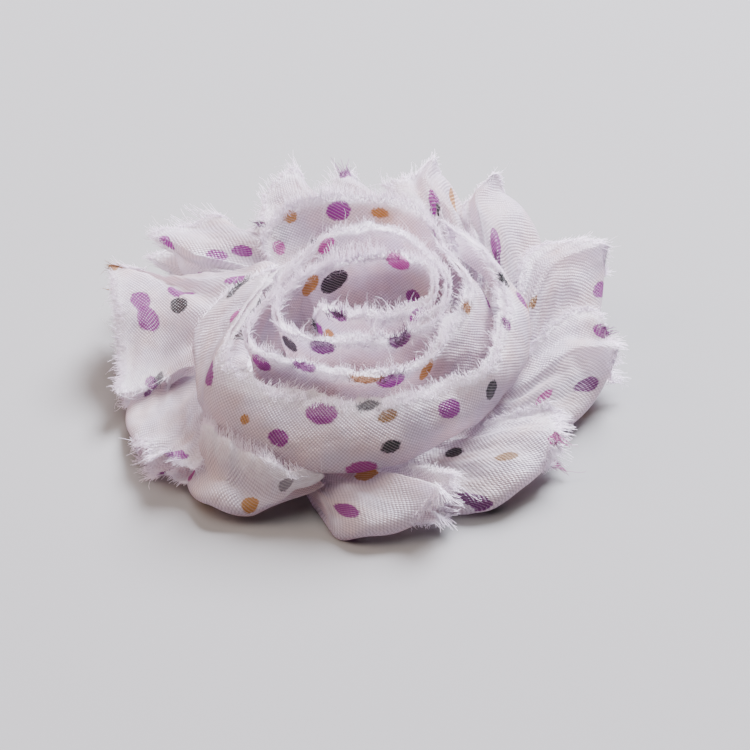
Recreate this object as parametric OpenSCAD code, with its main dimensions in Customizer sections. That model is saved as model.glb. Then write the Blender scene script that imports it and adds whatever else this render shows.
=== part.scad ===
// Flower clip: a frayed chiffon rosette on a felt backing with a flat hair clip.
// Frame: X to the right, Y away from the viewer, Z up, millimetres.
// The clip's underside lies on z = 0 and the flower's axis is the Z axis.
// Angles run counter-clockwise seen from above, with 0 at the right.

/* [Coiled strip] */
// thickness of the coiled strip at its raw upper edge
edge_t = 0.9; // [0.8:0.05:1.0]
// thickness of the strip's round fold at the bottom
fold_t = 2.0; // [1.8:0.05:2.1]
// degrees between two sections of the strip
strip_step = 9; // [8:1:12]

/* [Petals] */
// wall of the petals' cloth
wall_t = 1.0; // [1.0:0.02:1.04]
// clear space left inside a petal where its two layers lie together
slit_t = 0.2; // [0.16:0.02:0.24]
// sections from a petal's soft side to its frayed side
petal_sections = 9; // [8:1:10]
// radius where the petals are joined to the felt
root_r = 15; // [14.9:0.1:15.2]

/* [Felt backing] */
// diameter of the felt disc
felt_d = 30.8; // [28:0.2:30.8]
// thickness of the felt
felt_t = 1.0; // [0.8:0.05:1.05]

/* [Hair clip] */
// length of the clip
clip_len = 38; // [34:1:39]
// width of the clip at its bend
clip_w = 9; // [7:0.5:9.5]
// width of the clip at its jaw
jaw_w = 6.5; // [5:0.5:7]
// thickness of the clip's spring strip
clip_t = 0.8; // [0.7:0.05:0.8]
// height of the whole clip
clip_h = 2.6; // [2.5:0.05:2.6]

/* [Hidden] */
// Gap between the backing and what lies on it
seat_gap = 0.2;
// Fraction of a petal's length in which it reaches its rim height
rise = 0.65;
// Radii between which a petal's sides swing round
swing_from = 16.5;
swing_to = 29;
// Place of the frayed tip along a petal's rim, 0 soft side to 1 frayed side
tip_v = 0.62;
// Angle from a petal's root to its soft side, and between two roots
root_sweep = 18;
root_gap = 1.8;
// How far the clip's bend lies left of the flower's axis
clip_back = 17.5;
// Heights that follow from the sizes
felt_z = clip_h;
deck_z = felt_z + felt_t;
root_z = deck_z + seat_gap + wall_t + slit_t / 2;

// The rosette strip, one row per section that shapes it:
// turn angle, edge radius, edge height, fold radius, fold height, bulge, lean.
// The lean is the angle by which the fold runs ahead of the edge.
A = 0;
EDGE_R = 1;
EDGE_Z = 2;
FOLD_R = 3;
FOLD_Z = 4;
BULGE = 5;
LEAN = 6;
COIL = [
    [192, 6.2, 16.6, 5.0, 4.9, 0.1, 0],
    [225, 6.0, 18.0, 5.4, 4.9, 0.3, 0],
    [273, 6.2, 18.5, 6.2, 4.9, 0.6, 0],
    [307, 7.7, 18.6, 6.8, 4.9, 0.6, 0],
    [340, 9.2, 18.8, 7.2, 4.9, 0.6, 0],
    [371, 9.4, 19.0, 7.0, 4.9, 0.6, 0],
    [402, 8.3, 19.1, 6.6, 4.9, 0.6, 0],
    [450, 6.5, 19.3, 6.0, 4.9, 0.5, 0],
    [491, 6.2, 19.2, 6.0, 4.9, 0.5, 0],
    [533, 7.9, 18.7, 7.4, 4.9, 0.4, 0],
    [573, 12.8, 18.0, 8.6, 4.9, 0.5, 0],
    [604, 12.0, 18.0, 9.2, 4.9, 0.7, 0],
    [630, 10.5, 18.0, 9.6, 4.9, 0.9, 0],
    [656, 10.8, 18.0, 10.0, 4.9, 0.9, 0],
    [689, 10.8, 18.0, 10.2, 4.9, 0.8, 0],
    [724, 11.1, 18.3, 10.0, 4.9, 0.8, 0],
    [752, 10.6, 18.3, 9.6, 4.9, 0.8, 0],
    [772, 11.4, 18.4, 9.6, 4.9, 0.7, 0],
    [810, 12.1, 18.5, 9.6, 4.9, 0.6, 0],
    [855, 10.0, 18.0, 9.4, 4.9, 0.4, 0],
    [876, 9.8, 17.9, 9.6, 4.9, 0.3, 0],
    [906, 11.2, 17.8, 10.6, 4.9, 0.2, 0],
    [934, 18.0, 17.0, 12.0, 4.9, 0.4, 0],
    [959, 15.6, 16.5, 12.6, 4.9, 0.8, 0],
    [982, 15.5, 16.3, 13.2, 4.9, 0.8, 0],
    [1012, 15.7, 16.5, 13.2, 5.2, 0.5, 0],
    [1029, 14.6, 17.0, 14.0, 7.2, 0.8, 0],
    [1047, 12.8, 17.3, 16.2, 8.2, 1.0, 0],
    [1084, 13.4, 17.8, 17.0, 8.2, 1.0, 0],
    [1102, 12.8, 18.0, 17.0, 8.2, 0.8, 0],
    [1120, 13.4, 18.0, 16.4, 8.2, 0.5, 0],
    [1134, 16.1, 18.0, 15.4, 8.2, 0.4, 0],
    [1147, 19.0, 18.0, 14.6, 8.0, 0.4, 0],
    [1170, 21.0, 17.6, 14.6, 8.0, 0.4, 0],
    [1192, 22.2, 16.6, 14.8, 8.0, 0.4, 0],
    [1213, 19.9, 14.2, 14.8, 8.0, 0.4, 0]
];

// The strip's last lap, wrapped over the front, with the same columns.
WRAP = [
    [155, 11.6, 17.0, 20.6, 11.6, 0.5, 25],
    [184, 13.0, 17.0, 21.4, 9.6, 1.0, 15],
    [200, 16.0, 16.4, 21.6, 8.4, 1.2, 8],
    [212, 20.0, 15.2, 21.8, 7.6, 1.6, 4],
    [228, 19.2, 14.1, 22.8, 7.1, 1.8, 0],
    [246, 17.2, 13.8, 23.0, 6.9, 1.8, 0],
    [268, 17.5, 13.6, 22.6, 7.1, 1.8, 0],
    [291, 17.2, 14.2, 21.3, 7.6, 1.8, 0],
    [306, 18.0, 14.3, 20.0, 7.9, 1.6, 0],
    [320, 19.5, 14.8, 19.8, 8.0, 1.4, 0],
    [338, 18.4, 15.2, 20.4, 8.8, 1.4, 0],
    [360, 17.8, 15.8, 21.2, 9.5, 1.4, 0],
    [388, 17.5, 17.0, 20.6, 10.6, 0.8, 0],
    [412, 17.8, 17.2, 19.4, 11.8, 0.4, 0]
];

// The petals, one row each, counter-clockwise from the right: angle, radius and
// height of the rim at the soft side, the belly, the frayed tip and the frayed
// side's end, then the puff between the layers and the frayed side's outward bow.
SOFT = 0;
BELLY = 3;
TIP = 6;
SIDE = 9;
PUFF = 12;
BOW = 13;
PETALS = [
    [9, 30.5, 3.2, 20, 34.0, 6.5, 27, 36.6, 10.0, 38, 31.0, 9.4, 4.0, 0.6],
    [34, 30.5, 4.2, 47, 33.4, 9.5, 57, 34.0, 12.5, 61, 28.0, 11.6, 3.5, -0.5],
    [56, 28.5, 5.4, 66, 31.0, 11.5, 73, 31.8, 14.0, 83, 26.5, 13.2, 2.5, 0],
    [78, 28.0, 7.4, 87, 29.4, 10.6, 94, 30.4, 12.3, 101, 27.0, 12.2, 1.6, 0],
    [99, 27.5, 5.0, 104, 31.0, 10.6, 108, 33.0, 12.0, 123, 24.8, 11.0, 2.5, 1.0],
    [121, 26.5, 5.0, 130, 31.4, 9.0, 143, 35.2, 8.5, 147, 27.5, 6.0, 2.0, -0.5],
    [151, 26.0, 8.2, 156, 31.5, 8.4, 158, 36.4, 8.0, 190, 31.5, 4.8, 2.5, -2.4],
    [184, 29.6, 1.3, 195, 31.4, 1.9, 208, 30.4, 2.6, 222, 28.0, 4.8, 1.6, 0.6],
    [220, 27.6, 1.3, 231, 30.0, 2.2, 242, 28.2, 2.2, 259, 24.0, 4.6, 2.8, 0],
    [261, 26.4, 1.2, 268, 29.6, 1.6, 289, 29.4, 3.0, 297, 26.0, 5.0, 3.4, 0.4],
    [295, 26.0, 1.3, 305, 29.6, 2.2, 326, 29.8, 4.2, 337, 26.4, 5.6, 3.5, 0.2],
    [333, 26.6, 1.8, 351, 30.4, 3.6, 361, 33.0, 6.0, 373, 29.5, 8.0, 4.0, 0.6]
];
// The wide petal at the left starts higher, under the wrapped lap:
// angle, radius and height of its root at the soft side and the frayed side.
WIDE = 6;
WIDE_ROOT = [135, 16.0, 12.0, 186, 22.0, 5.4];

// Section of the strip: place from fold 0 to edge 1, and side (1 is outward).
STRIP_SIDE = [1, 0.78, 0.52, 0.28, 0.1, 0];
// Places along a petal from root 0 to rim 1, on the outer and the inner skin.
SKIN_OUT = [0, 0.3, 0.55, 0.75, 0.9, 0.98, 1];
SKIN_IN = [0, 0.35, 0.65, 0.88, 1];

$fn = 96;

cloth_c = [0.95, 0.92, 0.94];
felt_c = [0.93, 0.93, 0.92];
steel_c = [0.75, 0.76, 0.78];

function clamp01(t) = min(1, max(0, t));
function smooth(t) = let (c = clamp01(t)) c * c * (3 - 2 * c);
function mix(a, b, t) = a + (b - a) * t;

// Row of a table at x, on a smooth curve through the rows.
function last_row(T, x) = max([for (k = [0 : len(T) - 2]) if (k == 0 || T[k][A] <= x) k]);
function slope(T, k) = let (lo = max(0, k - 1), hi = min(len(T) - 1, k + 1))
    (T[hi] - T[lo]) / (T[hi][A] - T[lo][A]);
function row_at(T, x) = let (k = last_row(T, x), w = T[k + 1][A] - T[k][A],
        t = (x - T[k][A]) / w, t2 = t * t, t3 = t2 * t)
    (2 * t3 - 3 * t2 + 1) * T[k] + (t3 - 2 * t2 + t) * w * slope(T, k)
    + (3 * t2 - 2 * t3) * T[k + 1] + (t3 - t2) * w * slope(T, k + 1);

// Middle of the strip's cloth in one section, as [radius, height].
function strip_mid(h, s) = [mix(h[FOLD_R], h[EDGE_R], s) + h[BULGE] * 4 * s * (1 - s),
    mix(h[FOLD_Z], h[EDGE_Z], s)];
function strip_dir(h, s) = let (d = strip_mid(h, s + 0.01) - strip_mid(h, s)) d / norm(d);
function strip_half(s) = 0.5 * mix(edge_t, fold_t, pow(1 - s, 3));
function place(a, rz) = [rz[0] * cos(a), rz[0] * sin(a), rz[1]];

// One section: down the outer side, round the fold, up the inner side.
function strip_section(T, a) = let (h = row_at(T, a)) concat(
    [for (s = STRIP_SIDE) strip_point(h, a, s, s == 0 ? 0.75 : 1)],
    [place(a + h[LEAN], strip_mid(h, 0) - [0, fold_t / 2])],
    [for (k = [len(STRIP_SIDE) - 1 : -1 : 0])
        strip_point(h, a, STRIP_SIDE[k], STRIP_SIDE[k] == 0 ? -0.75 : -1)]);
function strip_point(h, a, s, side) = let (d = strip_dir(h, s), t = strip_half(s) * side)
    place(a + h[LEAN] * (1 - s), strip_mid(h, s) + t * [d[1], -d[0]]);

// Skin between closed loops of m points, n loops in all.
function skin_faces(n, m) = [for (k = [0 : n - 2]) for (j = [0 : m - 1])
    let (p = k * m + j, q = k * m + (j + 1) % m)
    each [[p, q + m, q], [p, p + m, q + m]]];

module strip(T) {
    first = T[0][A];
    last = T[len(T) - 1][A];
    n = round((last - first) / strip_step) + 1;
    loops = [for (k = [0 : n - 1]) strip_section(T, mix(first, last, k / (n - 1)))];
    m = len(loops[0]);
    start_cap = [for (j = [1 : m - 2]) [0, j, j + 1]];
    end_cap = [for (j = [1 : m - 2]) [(n - 1) * m, (n - 1) * m + j + 1, (n - 1) * m + j]];
    points = [for (loop = loops) each loop];
    polyhedron(points, concat(skin_faces(n, m), start_cap, end_cap), convexity = 12);
}

// A petal's rim at v (0 soft side, 1 frayed side), as [angle, radius, height].
function spot(P, k) = [P[k], P[k + 1], P[k + 2]];
function rim(P, v) = v < tip_v
    ? let (w = v / tip_v) (1 - w) * (1 - 2 * w) * spot(P, SOFT)
        + 4 * w * (1 - w) * spot(P, BELLY) + w * (2 * w - 1) * spot(P, TIP)
    : let (w = (v - tip_v) / (1 - tip_v)) mix(spot(P, TIP), spot(P, SIDE), w)
        + [0, P[BOW] * 4 * w * (1 - w), 0];

// A petal's root at v; roots lie side by side, the wide petal has its own.
function root_start(i) = PETALS[i][SOFT] - root_sweep;
function root_end(i) = i == len(PETALS) - 1
    ? root_start(0) + 360 - root_gap : root_start(i + 1) - root_gap;
function root(i, v) = i == WIDE
    ? [mix(WIDE_ROOT[0], WIDE_ROOT[3], v), mix(WIDE_ROOT[1], WIDE_ROOT[4], v * v),
        mix(WIDE_ROOT[2], WIDE_ROOT[5], v * v)]
    : [mix(root_start(i), root_end(i), v), root_r, root_z];

// How far a petal's side has swung at radius r, from 0 at the root to 1 at the rim.
function swing(r, from_r, rim_r) = let (low = max(swing_from, from_r), w = swing_to - swing_from)
    smooth((r - low) / w) / smooth((rim_r - low) / w);

// Half of the petal's thickness: two walls and a slit, plus the puff.
function puffed(P, v, along) = P[PUFF] * sqrt(1 - pow(1 - min(v / 0.4, 1), 2))
    * (1 - 0.75 * smooth((v - 0.6) / 0.4)) * smooth((along - 0.3) / 0.4);
function rounding(u) = u < 0.6 ? 1 : sqrt(max(0, 1 - pow((u - 0.6) / 0.4, 2)));

// A point of a petal: u from root to rim, v across, layer 1 top or -1 under,
// inset 0 on the outer skin or one wall on the inner skin.
function petal_point(i, u, v, layer, inset) = let (P = PETALS[i], e = rim(P, v), o = root(i, v),
        r = mix(o[1], e[1] - inset, u), along = (r - o[1]) / (e[1] - o[1]),
        a = mix(o[0], e[0], swing(r, o[1], e[1])), mid_z = mix(o[2], e[2], smooth(along / rise)),
        half = (wall_t + slit_t / 2 + puffed(P, v, along) / 2 - inset) * rounding(u),
        floor_z = layer < 0 ? inset : 0)
    place(a, [r, max(floor_z, mid_z + layer * half)]);

function petal_section(i, v) = let (no = len(SKIN_OUT) - 1, ni = len(SKIN_IN) - 1) concat(
    [for (k = [0 : no]) petal_point(i, SKIN_OUT[k], v, 1, 0)],
    [for (k = [no - 1 : -1 : 0]) petal_point(i, SKIN_OUT[k], v, -1, 0)],
    [for (k = [0 : ni]) petal_point(i, SKIN_IN[k], v, -1, wall_t)],
    [for (k = [ni - 1 : -1 : 0]) petal_point(i, SKIN_IN[k], v, 1, wall_t)]);

// End cap between the outer chain and the inner chain of a section.
function cap_faces(base, m, no, ni) = [for (k = [0 : no - 1])
    let (j = round(k * ni / no), j2 = round((k + 1) * ni / no))
    each concat([[base + k, base + m - 1 - j, base + k + 1]],
        j2 > j ? [[base + k + 1, base + m - 1 - j, base + m - 1 - j2]] : [])];
function flip(F) = [for (f = F) [f[0], f[2], f[1]]];

module petal(i) {
    n = petal_sections;
    loops = [for (k = [0 : n - 1]) petal_section(i, k / (n - 1))];
    m = len(loops[0]);
    no = 2 * (len(SKIN_OUT) - 1);
    ni = 2 * (len(SKIN_IN) - 1);
    start_cap = flip(cap_faces(0, m, no, ni));
    end_cap = cap_faces((n - 1) * m, m, no, ni);
    points = [for (loop = loops) each loop];
    polyhedron(points, concat(skin_faces(n, m), start_cap, end_cap), convexity = 8);
}

module rosette_coil() color(cloth_c) strip(COIL);
module rosette_wrap() color(cloth_c) strip(WRAP);

module felt_base() {
    color(felt_c)
        translate([0, 0, felt_z])
            cylinder(d = felt_d, h = felt_t);
}

// Spring strip bent flat on itself: lower leaf, bend at the left, upper leaf.
module hair_clip() {
    slot = clip_h - 2 * clip_t;
    color(steel_c)
        difference() {
            clip_outline(clip_h);
            translate([slot / 2, 0, clip_t])
                clip_slot(slot);
        }
}
module clip_outline(h) {
    jaw_x = clip_len - clip_back - jaw_w / 2;
    intersection() {
        linear_extrude(height = h) {
            polygon([[-clip_back, -clip_w / 2], [jaw_x, -jaw_w / 2],
                [jaw_x, jaw_w / 2], [-clip_back, clip_w / 2]]);
            translate([jaw_x, 0])
                circle(d = jaw_w);
        }
        translate([h / 2 - clip_back, 0, h / 2])
            rotate([90, 0, 0])
                linear_extrude(height = 2 * clip_w, center = true) {
                    circle(d = h);
                    translate([0, -h / 2])
                        square([clip_len, h]);
                }
    }
}
module clip_slot(slot) {
    translate([clip_t - clip_back, 0, slot / 2])
        rotate([90, 0, 0])
            linear_extrude(height = 2 * clip_w, center = true) {
                circle(d = slot);
                translate([0, -slot / 2])
                    square([clip_len, slot]);
            }
}

module petal_01() color(cloth_c) petal(0);
module petal_02() color(cloth_c) petal(1);
module petal_03() color(cloth_c) petal(2);
module petal_04() color(cloth_c) petal(3);
module petal_05() color(cloth_c) petal(4);
module petal_06() color(cloth_c) petal(5);
module petal_07() color(cloth_c) petal(6);
module petal_08() color(cloth_c) petal(7);
module petal_09() color(cloth_c) petal(8);
module petal_10() color(cloth_c) petal(9);
module petal_11() color(cloth_c) petal(10);
module petal_12() color(cloth_c) petal(11);

rosette_coil();
rosette_wrap();
petal_01();
petal_02();
petal_03();
petal_04();
petal_05();
petal_06();
petal_07();
petal_08();
petal_09();
petal_10();
petal_11();
petal_12();
felt_base();
hair_clip();
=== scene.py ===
"""Looks of a frayed chiffon rosette on a felt backing with a flat hair clip.

Sizes are millimetres in the tables and classes, and metres in the meshes. Angles
are degrees, counter-clockwise seen from above, with 0 at the right.
"""

import logging
import math
from dataclasses import asdict, dataclass, field
from enum import Enum
from functools import partial
from typing import Any, Callable, ClassVar, Sequence, Union

import bmesh
import bpy
import numpy as np
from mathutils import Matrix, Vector


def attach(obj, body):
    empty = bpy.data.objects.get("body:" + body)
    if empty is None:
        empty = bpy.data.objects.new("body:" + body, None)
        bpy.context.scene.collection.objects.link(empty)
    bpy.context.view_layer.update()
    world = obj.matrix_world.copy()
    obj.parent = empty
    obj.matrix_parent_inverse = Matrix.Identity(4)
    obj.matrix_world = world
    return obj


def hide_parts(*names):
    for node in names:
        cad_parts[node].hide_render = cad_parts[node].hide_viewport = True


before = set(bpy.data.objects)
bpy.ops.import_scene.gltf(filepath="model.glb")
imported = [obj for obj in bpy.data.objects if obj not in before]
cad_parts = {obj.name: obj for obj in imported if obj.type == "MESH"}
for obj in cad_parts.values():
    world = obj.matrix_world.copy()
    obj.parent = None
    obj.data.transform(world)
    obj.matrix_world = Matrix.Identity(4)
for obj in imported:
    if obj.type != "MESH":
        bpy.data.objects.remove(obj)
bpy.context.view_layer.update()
LOG = logging.getLogger("rosette")
MM = 0.001
Node = bpy.types.Node
Sockets = bpy.types.NodeOutputs
AddNode = Callable[..., Node]

# Strip rows: turn angle, edge radius, edge height, fold radius, fold height, bulge, lean.
COIL_ROWS = np.array([
    [192, 6.2, 13.2, 5.0, 4.9, 0.1, 0], [210, 6.1, 16.6, 5.2, 4.9, 0.2, 0],
    [232, 6.0, 18.0, 5.5, 4.9, 0.3, 0], [273, 6.2, 18.5, 6.2, 4.9, 0.6, 0],
    [307, 7.7, 18.6, 6.8, 4.9, 0.6, 0], [340, 9.2, 18.8, 7.2, 4.9, 0.6, 0],
    [371, 9.4, 19.0, 7.0, 4.9, 0.6, 0], [402, 8.3, 18.5, 6.6, 4.9, 0.6, 0],
    [450, 6.5, 17.5, 6.0, 4.9, 0.5, 0], [491, 6.2, 17.7, 6.0, 4.9, 0.5, 0],
    [533, 7.9, 18.4, 7.4, 4.9, 0.4, 0], [573, 12.8, 18.0, 8.6, 4.9, 0.5, 0],
    [604, 12.0, 18.0, 9.2, 4.9, 0.7, 0], [630, 10.5, 18.0, 9.6, 4.9, 0.9, 0],
    [656, 10.8, 18.0, 10.0, 4.9, 0.9, 0], [689, 10.8, 18.0, 10.2, 4.9, 0.8, 0],
    [724, 11.1, 18.3, 10.0, 4.9, 0.8, 0], [752, 10.6, 18.3, 9.6, 4.9, 0.8, 0],
    [772, 11.4, 18.4, 9.6, 4.9, 0.7, 0], [810, 12.1, 18.5, 9.6, 4.9, 0.6, 0],
    [855, 10.0, 18.0, 9.4, 4.9, 0.4, 0], [876, 9.8, 17.9, 10.4, 4.9, 0.3, 0],
    [906, 11.2, 17.8, 13.5, 4.9, 0.2, 0], [934, 17.3, 16.8, 13.9, 4.9, 0.6, 0],
    [959, 15.6, 16.5, 13.6, 4.9, 0.8, 0], [982, 15.5, 16.3, 13.2, 4.9, 0.8, 0],
    [1012, 15.7, 16.5, 13.2, 5.2, 0.5, 0], [1029, 14.6, 17.0, 14.0, 7.2, 0.8, 0],
    [1047, 12.8, 17.3, 16.2, 8.2, 1.0, 0], [1084, 13.4, 17.8, 17.0, 8.2, 1.0, 0],
    [1102, 12.8, 18.0, 17.0, 8.2, 0.8, 0], [1120, 13.4, 17.7, 16.4, 8.2, 0.5, 0],
    [1134, 16.1, 17.4, 15.4, 8.2, 0.4, 0], [1147, 19.0, 17.1, 14.6, 8.0, 0.4, 0],
    [1170, 21.0, 16.6, 14.6, 8.0, 0.4, 0], [1192, 22.2, 15.8, 14.8, 8.0, 0.4, 0],
    [1213, 19.9, 14.2, 14.8, 8.0, 0.4, 0]])
WRAP_ROWS = np.array([
    [155, 11.6, 17.0, 20.6, 11.6, 0.5, 25], [184, 13.0, 17.0, 21.4, 9.6, 1.0, 15],
    [200, 16.0, 16.4, 22.8, 8.4, 1.2, 8], [212, 20.0, 15.2, 23.4, 7.6, 1.7, 4],
    [228, 19.2, 14.1, 23.6, 7.1, 1.8, 0], [246, 17.2, 13.8, 23.0, 6.9, 1.8, 0],
    [268, 17.5, 13.6, 22.6, 7.1, 1.8, 0], [291, 17.2, 14.2, 21.3, 7.6, 1.8, 0],
    [306, 18.0, 14.3, 20.0, 7.9, 1.6, 0], [320, 19.5, 14.8, 19.8, 8.0, 1.4, 0],
    [338, 18.4, 15.2, 20.4, 8.8, 1.4, 0], [360, 17.8, 15.8, 21.2, 9.5, 1.4, 0],
    [388, 17.5, 17.0, 20.6, 10.6, 0.8, 0], [412, 17.8, 17.2, 19.4, 11.8, 0.4, 0]])
TURN, EDGE_R, EDGE_Z, FOLD_R, FOLD_Z, BULGE, LEAN = range(7)

# Petal rows: angle, radius and height of the rim at the soft side, the belly, the
# frayed tip and the frayed side's end, then the puff and the frayed side's bow.
PETAL_ROWS = np.array([
    [9, 30.5, 3.2, 20, 34.0, 6.2, 26.5, 36.3, 8.7, 38, 31.0, 9.4, 4.0, 0.6],
    [34, 30.5, 4.2, 47, 33.4, 9.5, 57, 33.6, 11.6, 61, 28.0, 11.6, 3.5, -0.5],
    [56, 28.5, 5.4, 66, 31.0, 11.5, 73, 31.5, 13.0, 83, 26.5, 13.2, 2.5, 0],
    [78, 28.0, 7.4, 87, 29.4, 10.6, 94, 30.4, 12.3, 101, 27.0, 12.2, 1.6, 0],
    [99, 27.5, 5.0, 104, 31.0, 10.6, 108, 32.6, 10.9, 123, 24.8, 11.0, 2.5, 1.0],
    [121, 26.5, 5.0, 130, 31.4, 9.0, 144, 35.6, 7.4, 147, 27.5, 6.0, 2.0, -0.5],
    [151, 26.0, 8.2, 156, 31.5, 8.4, 158, 36.4, 8.0, 190, 32.0, 3.0, 2.5, -2.4],
    [184, 29.6, 1.3, 195, 31.6, 1.8, 209, 31.6, 2.2, 224, 29.4, 3.6, 1.6, 0.6],
    [220, 29.0, 1.3, 231, 31.2, 2.0, 242, 29.4, 2.2, 259, 24.0, 4.6, 2.8, 0],
    [261, 26.4, 1.2, 268, 29.6, 1.6, 289, 28.9, 3.4, 297, 26.0, 5.0, 3.4, 0.4],
    [295, 26.0, 1.3, 305, 29.6, 2.2, 326, 29.8, 4.2, 337, 26.4, 5.6, 3.5, 0.2],
    [333, 26.6, 1.8, 350, 30.6, 3.3, 358, 33.2, 5.2, 372, 30.6, 8.0, 4.0, 0.6]])
SOFT, BELLY, TIP, SIDE, PUFF, BOW = 0, 3, 6, 9, 12, 13
# The wide petal at the left has a root of its own, as angle, radius and height.
WIDE = 6
WIDE_SOFT_ROOT = np.array([135, 16.0, 12.0])
WIDE_FRAYED_ROOT = np.array([186, 22.0, 5.4])
# The cut of each petal before it was folded over, across and along the rim.
PETAL_CUTS = ((38, 16), (38, 15), (36, 14), (34, 12), (34, 13), (34, 15), (32, 20), (34, 17),
              (32, 14), (34, 17), (34, 17), (36, 17))


class Ink(Enum):
    """Colours that the dots are printed in."""

    PURPLE = "#871A82"
    PLUM = "#620F5F"
    PINK = "#A83089"
    BLACK = "#17141A"
    GREY = "#75707A"
    TAN = "#B27C3A"
    BROWN = "#8A6434"


PURPLE, PLUM, PINK, BLACK, GREY, TAN, BROWN = Ink


@dataclass(frozen=True)
class Dot:
    """One printed dot, placed by the cloth's own directions.

    Attributes:
        along: Turn angle on a strip, or place from soft side to frayed side on a petal.
        up: Place from fold to raw edge on a strip, or from root to rim on a petal.
        size: Diameter in millimetres.
        ink: Its colour.
        side: 1 for the outer or top layer, -1 for the inner or under layer.
        stretch: Length along the cloth over its width.
    """

    along: float
    up: float
    size: float
    ink: Ink
    side: int = 1
    stretch: float = 1.0


# Dots charted on each piece: along, up, size, ink, side and stretch.
COIL_DOTS = (
    (196, 0.9, 2.0, BLACK), (207, 0.72, 2.2, PURPLE), (243, 0.97, 2.1, PURPLE, 1, 1.3),
    (238, 1.0, 1.8, BLACK, 1, 1.5), (228, 0.63, 2.2, TAN), (325, 0.9, 2.4, PURPLE),
    (392, 0.52, 2.6, PURPLE, -1), (485, 0.74, 3.6, BLACK, -1, 1.2), (520, 0.8, 3.2, TAN, -1),
    (412, 0.9, 3.0, PINK, -1), (605, 0.92, 2.2, PLUM, 1, 1.5), (655, 0.97, 2.4, PLUM, 1, 1.4),
    (583, 0.8, 2.6, BLACK), (568, 0.8, 1.8, PURPLE), (665, 0.55, 2.2, PINK),
    (835, 0.86, 2.6, PINK, -1), (943, 0.85, 2.8, PURPLE), (931, 0.72, 2.0, PINK),
    (962, 0.97, 2.0, PURPLE, 1, 1.6), (993, 1.0, 2.6, TAN, 1, 1.5),
    (1003, 0.88, 2.3, PURPLE, 1, 1.5), (1022, 0.8, 2.4, TAN), (1066, 0.95, 2.0, TAN),
    (1128, 0.9, 2.4, PURPLE, -1), (1164, 0.79, 1.3, TAN, -1, 1.7), (1179, 0.77, 2.8, PURPLE, -1),
    (1190, 0.42, 1.2, BLACK, -1), (1196, 0.84, 1.8, TAN, -1), (1206, 0.6, 2.0, PINK, -1),
    (1090, 0.5, 2.6, PURPLE), (1115, 0.7, 2.4, BLACK), (1140, 0.35, 3.2, PURPLE),
    (1160, 0.75, 2.4, TAN), (1185, 0.5, 2.6, PURPLE), (1204, 0.8, 2.4, BLACK))
WRAP_DOTS = (
    (210, 0.66, 2.4, PURPLE, 1, 1.4), (231, 0.5, 1.3, TAN), (244, 0.38, 2.2, PURPLE, 1, 1.25),
    (255, 0.83, 2.8, PURPLE, 1, 1.75), (273, 0.98, 2.2, BLACK, 1, 1.7),
    (280, 0.81, 1.6, BROWN, 1, 1.8), (302, 0.62, 2.5, PURPLE, 1, 1.3), (321, 0.5, 2.5, BLACK),
    (279, 0.34, 1.7, BLACK, 1, 1.5), (270, 0.03, 2.4, PINK, 1, 1.6), (347, 0.96, 2.0, PURPLE),
    (372, 0.95, 2.4, BLACK), (368, 0.5, 2.6, PURPLE), (368, 0.26, 1.4, TAN),
    (157, 0.55, 2.4, BLACK, 1, 1.5), (395, 0.4, 2.6, BLACK), (183, 0.7, 2.0, PINK))
PETAL_DOTS = (
    ((0.36, 0.98, 2.4, PURPLE), (0.62, 0.42, 1.8, BROWN)),
    ((0.42, 0.5, 4.0, PURPLE, 1, 0.6), (0.43, 0.41, 3.6, PLUM, 1, 0.5)),
    ((0.26, 0.84, 3.6, TAN, 1, 0.45), (0.68, 0.58, 2.6, PURPLE, 1, 1.5), (0.64, 0.52, 1.3, BLACK)),
    ((0.66, 0.97, 2.2, PURPLE),),
    ((0.84, 0.63, 2.2, TAN), (0.95, 0.8, 2.4, PINK), (0.99, 0.97, 1.6, PLUM)),
    ((0.68, 0.9, 2.6, PURPLE), (0.59, 0.54, 2.3, PURPLE), (0.5, 0.49, 2.2, PURPLE),
     (0.95, 0.78, 2.4, PURPLE)),
    ((0.745, 0.68, 3.6, PURPLE), (0.71, 0.74, 2.8, PURPLE), (0.66, 0.38, 2.5, BLACK),
     (0.572, 0.43, 2.2, PURPLE, 1, 1.3), (0.6, 0.98, 2.2, TAN), (0.35, 0.13, 2.2, PURPLE),
     (0.99, 0.55, 2.4, PURPLE), (0.99, 0.45, 2.0, BLACK, 1, 1.4)),
    ((0.08, 0.8, 2.4, PLUM), (0.03, 0.9, 2.0, BLACK), (0.86, 0.93, 2.6, PURPLE)),
    ((0.03, 0.93, 2.2, PINK), (0.6, 0.96, 2.2, TAN), (0.8, 0.95, 2.0, GREY)),
    ((0.29, 0.83, 2.7, PURPLE), (0.6, 0.48, 2.4, TAN, 1, 1.4)),
    ((0.2, 0.95, 3.1, PLUM), (0.48, 0.77, 2.2, BROWN), (0.52, 0.42, 2.0, BLACK),
     (0.63, 0.98, 2.0, PINK)),
    ((0.82, 0.96, 2.2, PURPLE), (0.34, 0.91, 2.6, PLUM), (0.27, 0.64, 2.4, PINK)))
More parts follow.
